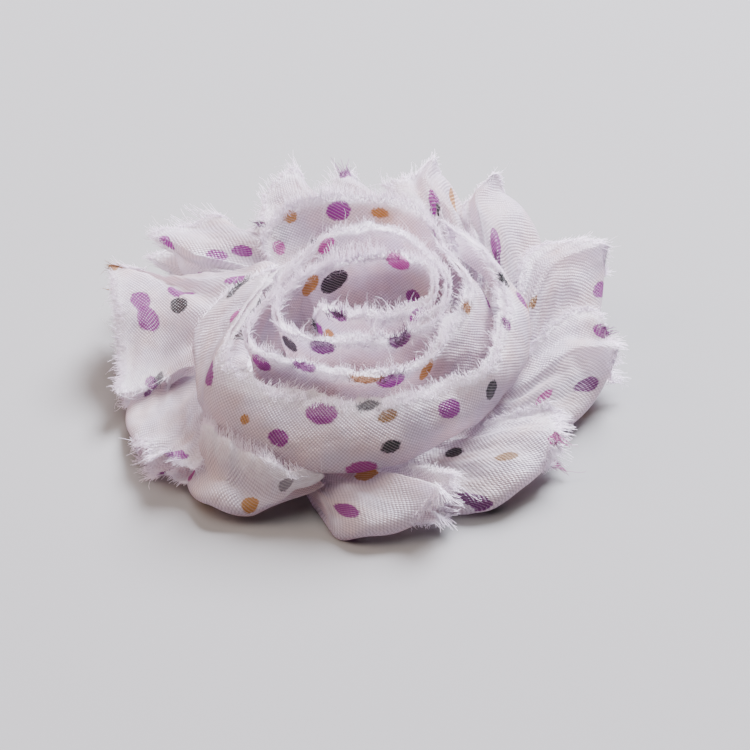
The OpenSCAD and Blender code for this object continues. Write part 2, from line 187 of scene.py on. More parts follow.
# How each petal frays: half of the distance between its raw edges, the place from which
# its rim is raw, and its combs of long threads as first place, last place and length.
PETAL_FRAYS = (
    (0.4, 0.54, ((0.56, 0.9, 2.2),)), (0.4, 0.54, ((0.58, 0.92, 2.4),)),
    (0.4, 0.48, ((0.48, 0.86, 2.8),)), (0.5, 0.5, ((0.5, 0.96, 4.0),)),
    (0.5, 0.34, ((0.36, 0.6, 4.2), (0.66, 0.98, 2.6))),
    (1.3, 0.18, ((0.2, 0.5, 4.4), (0.58, 0.8, 2.4))),
    (0.8, 0.3, ((0.3, 0.56, 3.4), (0.66, 0.98, 1.3))), (1.1, 0.5, ((0.5, 0.95, 1.5),)),
    (0.35, 2.0, ()), (0.5, 0.54, ((0.58, 0.98, 2.8),)), (0.5, 0.54, ((0.56, 0.98, 2.8),)),
    (0.5, 0.5, ((0.52, 0.85, 2.2),)))
# Inks of the two dots on each petal's underside, taken in turn.
UNDER_INKS = (PURPLE, BLACK, TAN)
# Turn angles between which a strip's threads are longer, and how much, and its combs of
# long threads as first angle, last angle and length.
COIL_FRINGES = ((425, 505, 1.5), (512, 572, 1.7), (868, 934, 1.7), (1100, 1213, 1.3))
COIL_COMBS = ((192, 222, 1.6), (428, 512, 3.7), (556, 590, 1.8), (1104, 1140, 1.8),
              (1150, 1213, 2.0))
WRAP_FRINGES = ((140, 203, 0.1),)
WRAP_COMBS = ((206, 216, 1.6), (365, 412, 1.6))


def linear(hex_colour: str) -> tuple[float, float, float, float]:
    """Turns an sRGB hex colour into the linear one that sockets take.

    Args:
        hex_colour: Such as "#F4EEF1".
    Returns:
        Red, green, blue and an alpha of 1.
    """
    parts = [int(hex_colour[k:k + 2], 16) / 255 for k in (1, 3, 5)]
    return (*(c / 12.92 if c <= 0.04045 else ((c + 0.055) / 1.055) ** 2.4 for c in parts), 1.0)


def add_node(tree: bpy.types.NodeTree, kind: str, inputs: Union[dict, Sequence] = (),
             **settings: Any) -> Node:
    """Adds a node with its settings and its inputs.

    Args:
        tree: The tree that it goes into.
        kind: The node's type name.
        inputs: What the inputs get, by name or number, or in the order of those that the
            node shows. A socket is linked, a node is linked from the first output that it
            shows, and any other value is set.
        settings: The node's own properties.
    Returns:
        The new node.
    """
    node = tree.nodes.new(kind)
    for name, value in settings.items():
        setattr(node, name, value)
    if isinstance(inputs, dict):
        given = [(node.inputs[key], value) for key, value in inputs.items()]
    else:
        given = zip((socket for socket in node.inputs if socket.enabled), inputs)
    for socket, value in given:
        if isinstance(value, Node):
            value = next(output for output in value.outputs if output.enabled)
        if isinstance(value, bpy.types.NodeSocket):
            tree.links.new(value, socket)
        else:
            socket.default_value = value
    return node


def smooth(t: np.ndarray) -> np.ndarray:
    """Eases from 0 to 1 for t from 0 to 1."""
    c = np.clip(t, 0, 1)
    return c * c * (3 - 2 * c)


def quarter_round(t: np.ndarray) -> np.ndarray:
    """Rises from 0 to 1 as a quarter of a circle for t from 0 to 1."""
    return np.sqrt(1 - (1 - np.clip(t, 0, 1)) ** 2)


def mix(a: Any, b: Any, t: Any) -> Any:
    """The value t of the way from a to b."""
    return a + (b - a) * t


def ripple(x: np.ndarray, y: np.ndarray, seed: int, shortest: float, longest: float,
           waves: int = 9) -> np.ndarray:
    """A smooth uneven field made of waves in all directions.

    Args:
        x: First coordinate in millimetres.
        y: Second coordinate in millimetres.
        seed: Chooses the waves.
        shortest: Shortest wave in millimetres.
        longest: Longest wave in millimetres.
        waves: How many waves are added.
    Returns:
        Values of about -1 to 1.
    """
    rng = np.random.default_rng(seed)
    total = np.zeros(np.broadcast(x, y).shape)
    for _ in range(waves):
        turn, phase = rng.uniform(0, 2 * math.pi, 2)
        k = 2 * math.pi / rng.uniform(shortest, longest)
        total += np.sin(k * (x * math.cos(turn) + y * math.sin(turn)) + phase)
    return total / math.sqrt(waves)


def placed(angle: np.ndarray, radius: np.ndarray, height: np.ndarray) -> np.ndarray:
    """Points in space for angles, radii and heights."""
    a = np.radians(angle)
    return np.stack([radius * np.cos(a), radius * np.sin(a), height + 0 * a], axis=-1)


def unit(v: np.ndarray) -> np.ndarray:
    """Vectors of length 1 in the same directions."""
    return v / np.maximum(np.linalg.norm(v, axis=-1, keepdims=True), 1e-9)


def lengths(points: np.ndarray, axis: int) -> np.ndarray:
    """Length along a grid's rows from the start, in the points' unit.

    Args:
        points: Grid of points.
        axis: The grid axis to follow.
    Returns:
        The length at every point of the grid.
    """
    steps = np.linalg.norm(np.diff(points, axis=axis), axis=-1)
    start = np.zeros_like(np.take(steps, [0], axis=axis))
    return np.cumsum(np.concatenate([start, steps], axis=axis), axis=axis)


def new_object(name: str, data: bpy.types.ID) -> bpy.types.Object:
    """Puts a new object with a mesh, light or camera into the scene.

    Args:
        name: The object's name.
        data: The mesh, light or camera.
    Returns:
        The object.
    """
    made = bpy.data.objects.new(name, data)
    bpy.context.scene.collection.objects.link(made)
    return made


def join_frame(piece: bpy.types.Object, node: str = "") -> None:
    """Gives a piece its body and hides the CAD node that it stands for.

    Args:
        piece: The piece.
        node: The CAD node that it replaces, if any.
    """
    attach(piece, "root")
    if node:
        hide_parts(node)


def finish_piece(mesh: bpy.types.Mesh, finish: "Finish", node: str) -> None:
    """Makes a piece of a mesh, in one finish, and reports it.

    Args:
        mesh: Its mesh, under the piece's name.
        finish: What it is dressed in.
        node: The CAD node that it replaces.
    """
    mesh.shade_smooth()
    piece = new_object(mesh.name, mesh)
    finish.dress(piece)
    join_frame(piece, node)
    LOG.info("%s: %d faces", piece.name, len(mesh.polygons))


@dataclass
class ClothGrid:
    """A woven layer as a grid of points, with its place in the flat cloth.

    Attributes:
        points: Grid of points in millimetres.
        flat: The same points in the flat cloth, in millimetres.
        loose: How far each point is from a raw edge, in millimetres.
        turned: True where the faces have to be turned over.
    """

    points: np.ndarray
    flat: np.ndarray
    loose: np.ndarray
    turned: bool = False


def cloth_object(name: str, grids: Sequence[ClothGrid]) -> bpy.types.Object:
    """Makes one cloth object of grids, merged where they touch.

    Args:
        name: The piece's name.
        grids: Its layers.
    Returns:
        The object, with the flat cloth in millimetres as its UV map and the distance
        from the raw edge as an attribute.
    """
    faces, base = [], 0
    for grid in grids:
        n, m = grid.points.shape[:2]
        index = base + np.arange(n * m).reshape(n, m)
        quads = np.stack([index[:-1, :-1], index[1:, :-1], index[1:, 1:], index[:-1, 1:]], -1)
        quads = quads.reshape(-1, 4)
        faces.append(quads[:, ::-1] if grid.turned else quads)
        base += n * m
    points = np.concatenate([grid.points.reshape(-1, 3) * MM for grid in grids])
    flat = np.concatenate([grid.flat.reshape(-1, 2) for grid in grids])
    mesh = bpy.data.meshes.new(name)
    mesh.from_pydata(points.tolist(), [], np.concatenate(faces).tolist())
    corner = np.zeros(len(mesh.loops), dtype=np.int64)
    mesh.loops.foreach_get("vertex_index", corner)
    mesh.uv_layers.new(name="flat_cloth").data.foreach_set("uv", flat[corner].ravel())
    mesh.attributes.new("raw_distance", "FLOAT", "POINT").data.foreach_set(
        "value", np.concatenate([grid.loose.ravel() for grid in grids]))
    shaped = bmesh.new()
    shaped.from_mesh(mesh)
    bmesh.ops.remove_doubles(shaped, verts=shaped.verts, dist=0.002 * MM)
    bmesh.ops.dissolve_degenerate(shaped, edges=shaped.edges, dist=0.0001 * MM)
    shaped.to_mesh(mesh)
    shaped.free()
    mesh.shade_smooth()
    return new_object(name, mesh)


@dataclass
class RawEdge:
    """A raw edge of the cloth, from which threads stand out.

    Attributes:
        points: Points along the edge in millimetres.
        out: Directions in which the cloth would go on.
        face: Directions out of the cloth's face.
        flat: The points in the flat cloth, in millimetres.
        fullness: How long the threads are at each point, 1 for usual.
    """

    points: np.ndarray
    out: np.ndarray
    face: np.ndarray
    flat: np.ndarray
    fullness: np.ndarray

    def part(self, chosen: np.ndarray, fullness: np.ndarray) -> "RawEdge":
        """The chosen points of the edge, with a fullness of their own."""
        return RawEdge(self.points[chosen], self.out[chosen], self.face[chosen],
                       self.flat[chosen], fullness)


@dataclass(frozen=True)
class FrayStyle:
    """How the threads stand out of a raw edge, as sizes in millimetres.

    Attributes:
        spacing: Distance between threads along the edge.
        shortest: Shortest thread.
        longest: Longest thread.
        evenness: Over 1 makes long threads rare.
        bury: How far below the edge a thread may start.
        lift: How far off the face a thread may start.
        spread: How much the directions differ.
        curl: How much a thread bends over its length.
        wander: How far a tip strays.
        thickness: Radius of a thread.
        joints: Points along a thread.
    """

    spacing: float
    shortest: float
    longest: float
    evenness: float
    bury: float
    lift: float
    spread: float
    curl: float
    wander: float
    thickness: float
    joints: int

    def inputs(self) -> dict[str, float]:
        """The sizes by their names in the thread tree, with lengths in metres."""
        shares = ("evenness", "spread", "curl", "joints")
        return {name.capitalize(): size if name in shares else size * MM
                for name, size in asdict(self).items()}


class Fray(Enum):
    """The kinds of fray along the raw edges."""

    FLUFF = FrayStyle(0.07, 0.25, 0.85, 1.0, 1.2, 0.24, 0.65, 0.35, 0.2, 0.05, 3)
    COMB = FrayStyle(0.2, 0.4, 1.25, 1.6, 0.3, 0.08, 0.3, 0.25, 0.25, 0.045, 4)
    STRAY = FrayStyle(3.4, 1.2, 3.2, 1.8, 0.2, 0.1, 0.6, 0.5, 1.4, 0.04, 8)
    LINT = FrayStyle(0.8, 0.5, 1.5, 1.2, 2.0, 0.3, 1.4, 0.4, 0.4, 0.03, 4)
    LONG_COMB = FrayStyle(0.23, 0.6, 1.0, 0.8, 0.6, 0.08, 0.16, 0.14, 0.35, 0.065, 5)


class ThreadTree:
    """Geometry Nodes tree that sets frayed threads along raw edges."""

    def __init__(self) -> None:
        """Makes the tree with its named inputs."""
        self.tree = bpy.data.node_groups.new("frayed threads", "GeometryNodeTree")
        self.socket("Edges", "Geometry")
        for name, size in Fray.COMB.value.inputs().items():
            self.socket(name, type(size).__name__.capitalize()).default_value = size
        self.socket("Seed", "Int")
        self.socket("Material", "Material")
        self.socket("Threads", "Geometry", "OUTPUT")
        self.lay_out()

    def socket(self, name: str, kind: str,
               side: str = "INPUT") -> bpy.types.NodeTreeInterfaceSocket:
        """Adds an input or output of a kind to the tree."""
        return self.tree.interface.new_socket(name, in_out=side, socket_type="NodeSocket" + kind)

    def lay_out(self) -> None:
        """Sets a thread on each root and gives the threads their bodies and material."""
        add = partial(add_node, self.tree)
        given = add("NodeGroupInput").outputs
        turned, length = self.aim(add, given)
        standing = add("GeometryNodeInstanceOnPoints", {
            "Points": self.roots(add, given), "Instance": self.thread(add, given),
            "Rotation": turned, "Scale": length})
        real = add("GeometryNodeRealizeInstances", [standing])
        whole = add("GeometryNodeRealizeInstances", [self.body(add, given, real)])
        dyed = add("GeometryNodeSetMaterial", {"Geometry": whole, "Material": given["Material"]})
        add("NodeGroupOutput", [dyed])

    @staticmethod
    def roots(add: AddNode, given: Sockets) -> Node:
        """Sows roots along the edges, a little below them and off the cloth's face.

        Args:
            add: Adds a node to the tree.
            given: The tree's inputs.
        Returns:
            The points.
        """
        out, face = (add("GeometryNodeInputNamedAttribute", {"Name": name},
                         data_type="FLOAT_VECTOR") for name in ("out", "face"))
        seeds = [add("ShaderNodeMath", [given["Seed"], k], operation="ADD") for k in (0.0, 1.0)]
        bury, lift = (add("FunctionNodeRandomValue", {"Seed": seed}, data_type="FLOAT")
                      for seed in seeds)
        line = add("GeometryNodeMeshToCurve", [given["Edges"]])
        points = add("GeometryNodeResampleCurve", {"Curve": line, "Length": given["Spacing"]},
                     mode="LENGTH")
        below = add("ShaderNodeMath", [bury, given["Bury"]], operation="MULTIPLY")
        beside = add("ShaderNodeMath", [lift, given["Lift"]], operation="MULTIPLY")
        down = add("ShaderNodeVectorMath", [out, below], operation="SCALE")
        off = add("ShaderNodeVectorMath", [face, beside], operation="SCALE")
        place = add("ShaderNodeVectorMath", [off, down], operation="SUBTRACT")
        return add("GeometryNodeSetPosition", {"Geometry": points, "Offset": place})

    @staticmethod
    def aim(add: AddNode, given: Sockets) -> tuple[Node, Node]:
        """Points each thread out, a little astray, turned about itself at random.

        Args:
            add: Adds a node to the tree.
            given: The tree's inputs.
        Returns:
            The threads' rotations and lengths.
        """
        out, fullness = (add("GeometryNodeInputNamedAttribute", {"Name": name}, data_type=kind)
                         for name, kind in (("out", "FLOAT_VECTOR"), ("fullness", "FLOAT")))
        seeds = [add("ShaderNodeMath", [given["Seed"], k], operation="ADD")
                 for k in (2.0, 3.0, 5.0)]
        spin, reach = (add("FunctionNodeRandomValue", {"Seed": seed}, data_type="FLOAT")
                       for seed in seeds[:2])
        scatter = add("FunctionNodeRandomValue", {0: (-1.0, -1.0, -1.0), "Seed": seeds[2]},
                      data_type="FLOAT_VECTOR")
        stray = add("ShaderNodeVectorMath", [scatter, given["Spread"]], operation="SCALE")
        ahead = add("ShaderNodeVectorMath", [out, stray], operation="ADD")
        upright = add("FunctionNodeAlignRotationToVector", {"Vector": ahead}, axis="Z")
        angle = add("ShaderNodeMath", [spin, 2 * math.pi], operation="MULTIPLY")
        twist = add("FunctionNodeAxisAngleToRotation", {"Axis": (0.0, 0.0, 1.0), "Angle": angle})
        turned = add("FunctionNodeRotateRotation", [upright, twist], rotation_space="LOCAL")
        share = add("ShaderNodeMath", [reach, given["Evenness"]], operation="POWER")
        length = add("ShaderNodeMapRange", [share, 0.0, 1.0, given["Shortest"], given["Longest"]])
        return turned, add("ShaderNodeMath", [length, fullness], operation="MULTIPLY")

    @staticmethod
    def thread(add: AddNode, given: Sockets) -> Node:
        """Makes one thread of length 1 along Z, bent sideways by its curl.

        Args:
            add: Adds a node to the tree.
            given: The tree's inputs.
        Returns:
            The thread, which keeps as an attribute how near the tip each point is.
        """
        factor = add("GeometryNodeSplineParameter").outputs["Factor"]
        straight = add("GeometryNodeCurvePrimitiveLine", {"End": (0.0, 0.0, 1.0)})
        jointed = add("GeometryNodeResampleCurve", {"Curve": straight, "Count": given["Joints"]},
                      mode="COUNT")
        marked = add("GeometryNodeStoreNamedAttribute",
                     {"Geometry": jointed, "Name": "tip", "Value": factor},
                     data_type="FLOAT", domain="POINT")
        square = add("ShaderNodeMath", [factor, 2.0], operation="POWER")
        sag = add("ShaderNodeMath", [square, given["Curl"]], operation="MULTIPLY")
        offset = add("ShaderNodeCombineXYZ", {"X": sag})
        return add("GeometryNodeSetPosition", {"Geometry": marked, "Offset": offset})

    @staticmethod
    def body(add: AddNode, given: Sockets, threads: Node) -> Node:
        """Lets the threads stray towards their tips and gives them thickness.

        Args:
            add: Adds a node to the tree.
            given: The tree's inputs.
            threads: The threads as curves.
        Returns:
            The threads as three-sided tubes, which taper to under half of their thickness.
        """
        tip = add("GeometryNodeInputNamedAttribute", {"Name": "tip"}, data_type="FLOAT")
        drift = add("ShaderNodeTexNoise", {"Scale": 420.0, "Detail": 1.0}).outputs["Color"]
        about = add("ShaderNodeVectorMath", [drift, (0.5, 0.5, 0.5)], operation="SUBTRACT")
        wander = add("ShaderNodeMath", [tip, given["Wander"]], operation="MULTIPLY")
        stir = add("ShaderNodeVectorMath", [about, wander], operation="SCALE")
        stirred = add("GeometryNodeSetPosition", {"Geometry": threads, "Offset": stir})
        taper = add("ShaderNodeMapRange", [tip, 0.0, 1.0, 1.0, 0.45])
        radius = add("ShaderNodeMath", [taper, given["Thickness"]], operation="MULTIPLY")
        ring = add("GeometryNodeCurvePrimitiveCircle", {"Resolution": 3, "Radius": 1.0})
        return add("GeometryNodeCurveToMesh", {"Curve": stirred, "Profile Curve": ring,
                                               "Scale": radius, "Fill Caps": True})

    def grow(self, edges: bpy.types.Object, sizes: dict[str, Any]) -> bpy.types.Mesh:
        """Grows threads on an edge object.

        Args:
            edges: Object whose mesh holds the edge lines.
            sizes: Inputs of the tree by name.
        Returns:
            A plain mesh of the threads.
        """
        grower = edges.modifiers.new("threads", "NODES")
        grower.node_group = self.tree
        for item in self.tree.interface.items_tree:
            if item.item_type == "SOCKET" and item.name in sizes:
                grower[item.identifier] = sizes[item.name]
        bpy.context.view_layer.update()
        graph = bpy.context.evaluated_depsgraph_get()
        mesh = bpy.data.meshes.new_from_object(edges.evaluated_get(graph))
        edges.modifiers.remove(grower)
        return mesh


@dataclass
class DotChart:
    """The dots on one piece of cloth, in the flat cloth's millimetres.

    Attributes:
        spots: Centre, size, ink and stretch of each dot.
        reach: How far from its centre a dot dyes loose threads, as a share of its size.
    """

    spots: list[tuple[np.ndarray, float, Ink, float]] = field(default_factory=list)
    reach: float = 0.56

    def add(self, centre: Sequence[float], dot: Dot) -> None:
        """Adds a dot at a place in the flat cloth."""
        self.spots.append((np.array(centre), dot.size, dot.ink, dot.stretch))

    def dye(self, place: np.ndarray) -> tuple[float, float, float, float]:
        """Colour of a thread that comes out of the cloth at a place.

        Args:
            place: Where the thread starts in the flat cloth.
        Returns:
            The ink's colour with alpha 1 inside a dot, else an alpha of 0.
        """
        for centre, size, ink, stretch in self.spots:
            off = (place - centre) / np.array([stretch, 1.0])
            if np.hypot(*off) < self.reach * size:
                return linear(ink.value)
        return (0.0, 0.0, 0.0, 0.0)


def edge_lines(raw: Sequence[RawEdge], dots: DotChart) -> bpy.types.Object:
    """Makes lines along raw edges, with what the threads need to know.

    Args:
        raw: The raw edges.
        dots: The cloth's dots, which dye the threads that they reach.
    Returns:
        The object of the lines.
    """
    verts, lines = [], []
    for edge in raw:
        start = len(verts)
        verts.extend((edge.points * MM).tolist())
        lines.extend((start + k, start + k + 1) for k in range(len(edge.points) - 1))
    mesh = bpy.data.meshes.new("edge_lines")
    mesh.from_pydata(verts, lines, [])
    for name, kind, key, values in (
            ("out", "FLOAT_VECTOR", "vector", [unit(edge.out) for edge in raw]),
            ("face", "FLOAT_VECTOR", "vector", [unit(edge.face) for edge in raw]),
            ("fullness", "FLOAT", "value", [edge.fullness for edge in raw]),
            ("dye", "FLOAT_COLOR", "color", [[dots.dye(spot) for spot in edge.flat]
                                             for edge in raw])):
        mesh.attributes.new(name, kind, "POINT").data.foreach_set(
            key, np.concatenate(values).ravel())
    return new_object("edge_lines", mesh)


# Threads that reach below this height are squeezed by this share, to lie on the floor.
FLOOR_REACH = 0.35 * MM
FLOOR_SQUEEZE = 0.15
# From the seed of one kind of fray to the next.
KIND_SEED = 17


def frayed_object(name: str, kinds: Sequence[tuple[Fray, Sequence[RawEdge]]], tree: ThreadTree,
                  thread: bpy.types.Material, dots: DotChart, seed: int) -> bpy.types.Object:
    """Makes the threads along the raw edges of one cloth piece.

    Args:
        name: The piece's name.
        kinds: The kinds of fray, each with the raw edges that it is on.
        tree: The tree that grows threads.
        thread: Material of the threads.
        dots: The cloth's dots, which dye the threads that they reach.
        seed: Chooses the threads.
    Returns:
        The object of plain threads.
    """
    joined = bmesh.new()
    for number, (kind, raw) in enumerate(kinds):
        if not raw:
            continue
        guide = edge_lines(raw, dots)
        grown = tree.grow(guide, {**kind.value.inputs(), "Seed": seed + KIND_SEED * number,
                                  "Material": thread})
        joined.from_mesh(grown)
        bpy.data.meshes.remove(grown)
        bpy.data.meshes.remove(guide.data)
    for corner in joined.verts:
        if corner.co.z < FLOOR_REACH:
            corner.co.z = FLOOR_REACH + FLOOR_SQUEEZE * (corner.co.z - FLOOR_REACH)
    threads = bpy.data.meshes.new(name)
    joined.to_mesh(threads)
    joined.free()
    threads.materials.append(thread)
    threads.shade_smooth()
    return new_object(name, threads)


class Finish:
    """A finish of a real material.

    Attributes:
        title: The material's common name.
    """

    title: ClassVar[str]

    def surface(self, tree: bpy.types.NodeTree) -> Node:
        """Draws the surface in a material's tree and returns its shader."""
        raise NotImplementedError

    def material(self, piece_name: str = "") -> bpy.types.Material:
        """Makes the material.

        Args:
            piece_name: The piece that it is for, where it is for one piece alone.
        Returns:
            The material.
        """
        material = bpy.data.materials.new(f"{piece_name} {self.title}".strip())
        material.use_nodes = True
        tree = material.node_tree
        tree.nodes.clear()
        add_node(tree, "ShaderNodeOutputMaterial", {"Surface": self.surface(tree)})
        return material

    def dress(self, piece: bpy.types.Object, piece_name: str = "") -> None:
        """Gives a piece this finish alone, under the piece's name if one is given."""
        piece.data.materials.clear()
        piece.data.materials.append(self.material(piece_name))


@dataclass(frozen=True)
class PrintedChiffon(Finish):
    """Sheer polyester chiffon with a satin stripe of light on its plain weave.

    Gives soft white cloth that glows where it is thin, with a fine grid of threads, painted shade
    in the gaps between them, a painted highlight where its raw edges fuzz, and printed dots in
    which some threads stay white.

    Attributes:
        chart: The dots printed on it.
        pitch: Distance between threads in millimetres.
        weave_turn: Angle of the threads to the piece, in degrees.
        light: Colour of the cloth in the light.
        warm: Colour where the cloth is a little warmer.
        gap: Painted shade between the threads, as a colour.
        gap_share: How much of that painted shade shows.
        loose: Colour near a raw edge, where the threads have come loose, painted whiter than the
            cloth as a painted highlight of the fuzz.
        bleed: How far a dot's rim is uneven either way, in millimetres.
        rough: Roughness of the threads.
        sheer: How much of the light goes through.
    """

    title: ClassVar[str] = "printed chiffon"
    chart: DotChart
    pitch: float = 0.35
    weave_turn: float = 38.0
    light: str = "#E8DEEB"
    warm: str = "#EDD8D9"
    gap: str = "#8C7988"
    gap_share: float = 0.57
    loose: str = "#F8F4F9"
    bleed: float = 0.25
    rough: float = 0.33
    sheer: float = 0.55

    def surface(self, tree: bpy.types.NodeTree) -> Node:
        """Draws the cloth, the painted shade between its threads, its whitened edges with their
        painted highlight, the print, the crumples and the weave.

        Args:
            tree: The material's tree. The cloth's UV map is in millimetres.
        Returns:
            The surface's shader.
        """
        add = partial(add_node, tree)
        flat = add("ShaderNodeUVMap", uv_map="flat_cloth")
        threads, height = self.weave(add, flat)
        # The cloth is warmer in patches of about 6 mm.
        patches = add("ShaderNodeTexNoise", {"Vector": flat, "Scale": 0.16, "Detail": 3.0})
        warmth = add("ShaderNodeMapRange", [patches, 0.4, 0.65])
        cloth = add("ShaderNodeMix", [warmth, linear(self.light), linear(self.warm)],
                    data_type="RGBA")
        # Painted shade: between the threads the cloth is darkened towards a dark lilac grey, as
        # where sheer cloth shows the dark behind it.
        between = add("ShaderNodeMapRange", [height, 0.1, 0.62, self.gap_share, 0.0])
        colour = add("ShaderNodeMix", [between, cloth, linear(self.gap)], data_type="RGBA")
        # Near a raw edge, in uneven patches, the cloth is painted whiter, a painted highlight of
        # its fuzz, and the print is fainter.
        distance = add("ShaderNodeAttribute", attribute_name="raw_distance").outputs["Fac"]
        tufts = add("ShaderNodeTexNoise", {"Vector": flat, "Scale": 1.3, "Detail": 3.0})
        reach = add("ShaderNodeMath", [tufts, -2.4, distance], operation="MULTIPLY_ADD")
        loose = add("ShaderNodeMapRange", [reach, -0.9, 0.9, 0.9, 0.0])
        colour = add("ShaderNodeMix", [loose, colour, linear(self.loose)], data_type="RGBA")
        inked = add("ShaderNodeMapRange", [threads[1], 0.2, 1.0, 1.0, 0.78])
        fainter = add("ShaderNodeMath", [loose, -0.2, 1.0], operation="MULTIPLY_ADD")
        share = add("ShaderNodeMath", [inked, fainter], operation="MULTIPLY")
        colour = self.printed(add, flat, colour, share)
        # Crumples of about 2 mm, and on them the relief of the threads.
        crumples = add("ShaderNodeTexNoise", {"Vector": flat, "Scale": 0.5, "Detail": 4.0})
        soft = add("ShaderNodeBump", {"Strength": 0.6, "Distance": 0.7 * MM, "Height": crumples})
        woven = add("ShaderNodeBump", {"Strength": 0.85, "Distance": 0.14 * MM,
                                       "Height": height, "Normal": soft})
        shiny = add("ShaderNodeBsdfPrincipled", {
            "Base Color": colour, "Roughness": self.rough, "Specular IOR Level": 0.9,
            "Sheen Weight": 0.08, "Sheen Roughness": 0.4, "Normal": woven})
        glow = add("ShaderNodeBsdfTranslucent", {"Color": colour})
        return add("ShaderNodeMixShader", [self.sheer, shiny, glow])

    def weave(self, add: AddNode, flat: Node) -> tuple[list[Node], Node]:
        """Draws the threads, which wander by up to 1.8 of their distance over about 7 mm.

        Args:
            add: Adds a node to the tree.
            flat: Places in the flat cloth.
        Returns:
            The threads of both directions from -1 to 1, and the weave's height from 0
            between them to 1 where they cross.
        """
        grain = add("ShaderNodeMapping",
                    {"Vector": flat, "Rotation": (0, 0, math.radians(self.weave_turn)),
                     "Scale": (1 / self.pitch, 1 / self.pitch, 1.0)})
        wave = add("ShaderNodeTexNoise", {"Vector": flat, "Scale": 0.14, "Detail": 2.0})
        bent = add("ShaderNodeVectorMath", [wave.outputs["Color"], (1.8, 1.8, 0.0), grain],
                   operation="MULTIPLY_ADD")
        across = add("ShaderNodeSeparateXYZ", [bent]).outputs
        turns = [add("ShaderNodeMath", [across[axis], 2 * math.pi], operation="MULTIPLY")
                 for axis in ("X", "Y")]
        threads = [add("ShaderNodeMath", [turn], operation="SINE") for turn in turns]
        crossings = add("ShaderNodeMath", threads, operation="MULTIPLY")
        both = add("ShaderNodeMath", threads, operation="ADD")
        weave = add("ShaderNodeMath", [crossings, 0.6, both], operation="MULTIPLY_ADD")
        return threads, add("ShaderNodeMapRange", [weave, -2.0, 2.0])

    def printed(self, add: AddNode, flat: Node, colour: Node, share: Node) -> Node:
        """Prints the dots on a colour, with slightly ragged rims.

        Args:
            add: Adds a node to the tree.
            flat: Places in the flat cloth.
            colour: The cloth's colour.
            share: How well the ink takes.
        Returns:
            The printed colour.
        """
        ragged = add("ShaderNodeTexNoise", {"Vector": flat, "Scale": 2.6, "Detail": 1.0})
        for centre, size, ink, stretch in self.chart.spots:
            off = add("ShaderNodeVectorMath", [flat, (*centre.tolist(), 0.0)],
                      operation="SUBTRACT")
            shaped = add("ShaderNodeVectorMath", [off, (1 / stretch, 1.0, 0.0)],
                         operation="MULTIPLY")
            away = add("ShaderNodeVectorMath", [shaped], operation="LENGTH")
            rim = add("ShaderNodeMath", [ragged, 2 * self.bleed, away], operation="MULTIPLY_ADD")
            edge = size / 2 + self.bleed
            inside = add("ShaderNodeMapRange", [rim, edge - 0.1, edge + 0.1, 1.0, 0.0])
            taken = add("ShaderNodeMath", [inside, share], operation="MULTIPLY")
            colour = add("ShaderNodeMix", [taken, colour, linear(ink.value)], data_type="RGBA")
        return colour


@dataclass(frozen=True)
class FrayedThread(Finish):
    """Loose polyester threads, which catch the light as a bright white fuzz.

    Attributes:
        colour: Colour of an undyed thread.
        rough: Roughness.
        sheer: How much of the light goes through.
    """

    title: ClassVar[str] = "loose polyester thread"
    colour: str = "#FCF4FD"
    rough: float = 0.4
    sheer: float = 0.5

    def surface(self, tree: bpy.types.NodeTree) -> Node:
        """Draws the threads, dyed by their attribute.

        Args:
            tree: The material's tree.
        Returns:
            The surface's shader.
        """
        add = partial(add_node, tree)
        dye = add("ShaderNodeAttribute", attribute_name="dye").outputs
        colour = add("ShaderNodeMix", [dye["Alpha"], linear(self.colour), dye["Color"]],
                     data_type="RGBA")
        shiny = add("ShaderNodeBsdfPrincipled", {"Base Color": colour, "Roughness": self.rough,
                                                 "Sheen Weight": 0.5, "Sheen Roughness": 0.6})
        glow = add("ShaderNodeBsdfTranslucent", {"Color": colour})
        return add("ShaderNodeMixShader", [self.sheer, shiny, glow])


@dataclass(frozen=True)
class PressedFelt(Finish):
    """Pressed pale craft felt: matt, with short matted fibres.

    Attributes:
        colour: Main colour, a pale lilac grey toned down as painted shade, so that the felt seen
            deep between the strips reads as shaded cloth.
        shade: Painted shade between the fibres, as a colour.
        fibre: Size of a tuft in millimetres.
        deep: Depth between the tufts in millimetres.
    """

    title: ClassVar[str] = "pressed felt"
    colour: str = "#DCD5D9"
    shade: str = "#B9B0B6"
    fibre: float = 0.5
    deep: float = 0.2

    def surface(self, tree: bpy.types.NodeTree) -> Node:
        """Draws the matted fibres, with painted shade between them.

        Args:
            tree: The material's tree.
        Returns:
            The surface's shader.
        """
        add = partial(add_node, tree)
        place = add("ShaderNodeTexCoord").outputs["Object"]
        tufts = add("ShaderNodeTexNoise", {"Vector": place, "Scale": 1 / (self.fibre * MM),
                                           "Detail": 6.0, "Distortion": 1.5})
        # Painted shade: the felt is darker in the hollows between its tufts, and its pale colour is
        # toned down so that it reads as shaded cloth between the strips.
        lit = add("ShaderNodeMapRange", [tufts, 0.35, 0.65])
        colour = add("ShaderNodeMix", [lit, linear(self.shade), linear(self.colour)],
                     data_type="RGBA")
        relief = add("ShaderNodeBump",
                     {"Strength": 0.7, "Distance": self.deep * MM, "Height": tufts})
        return add("ShaderNodeBsdfPrincipled", {"Base Color": colour, "Roughness": 0.95,
                                                "Sheen Weight": 0.4, "Normal": relief})


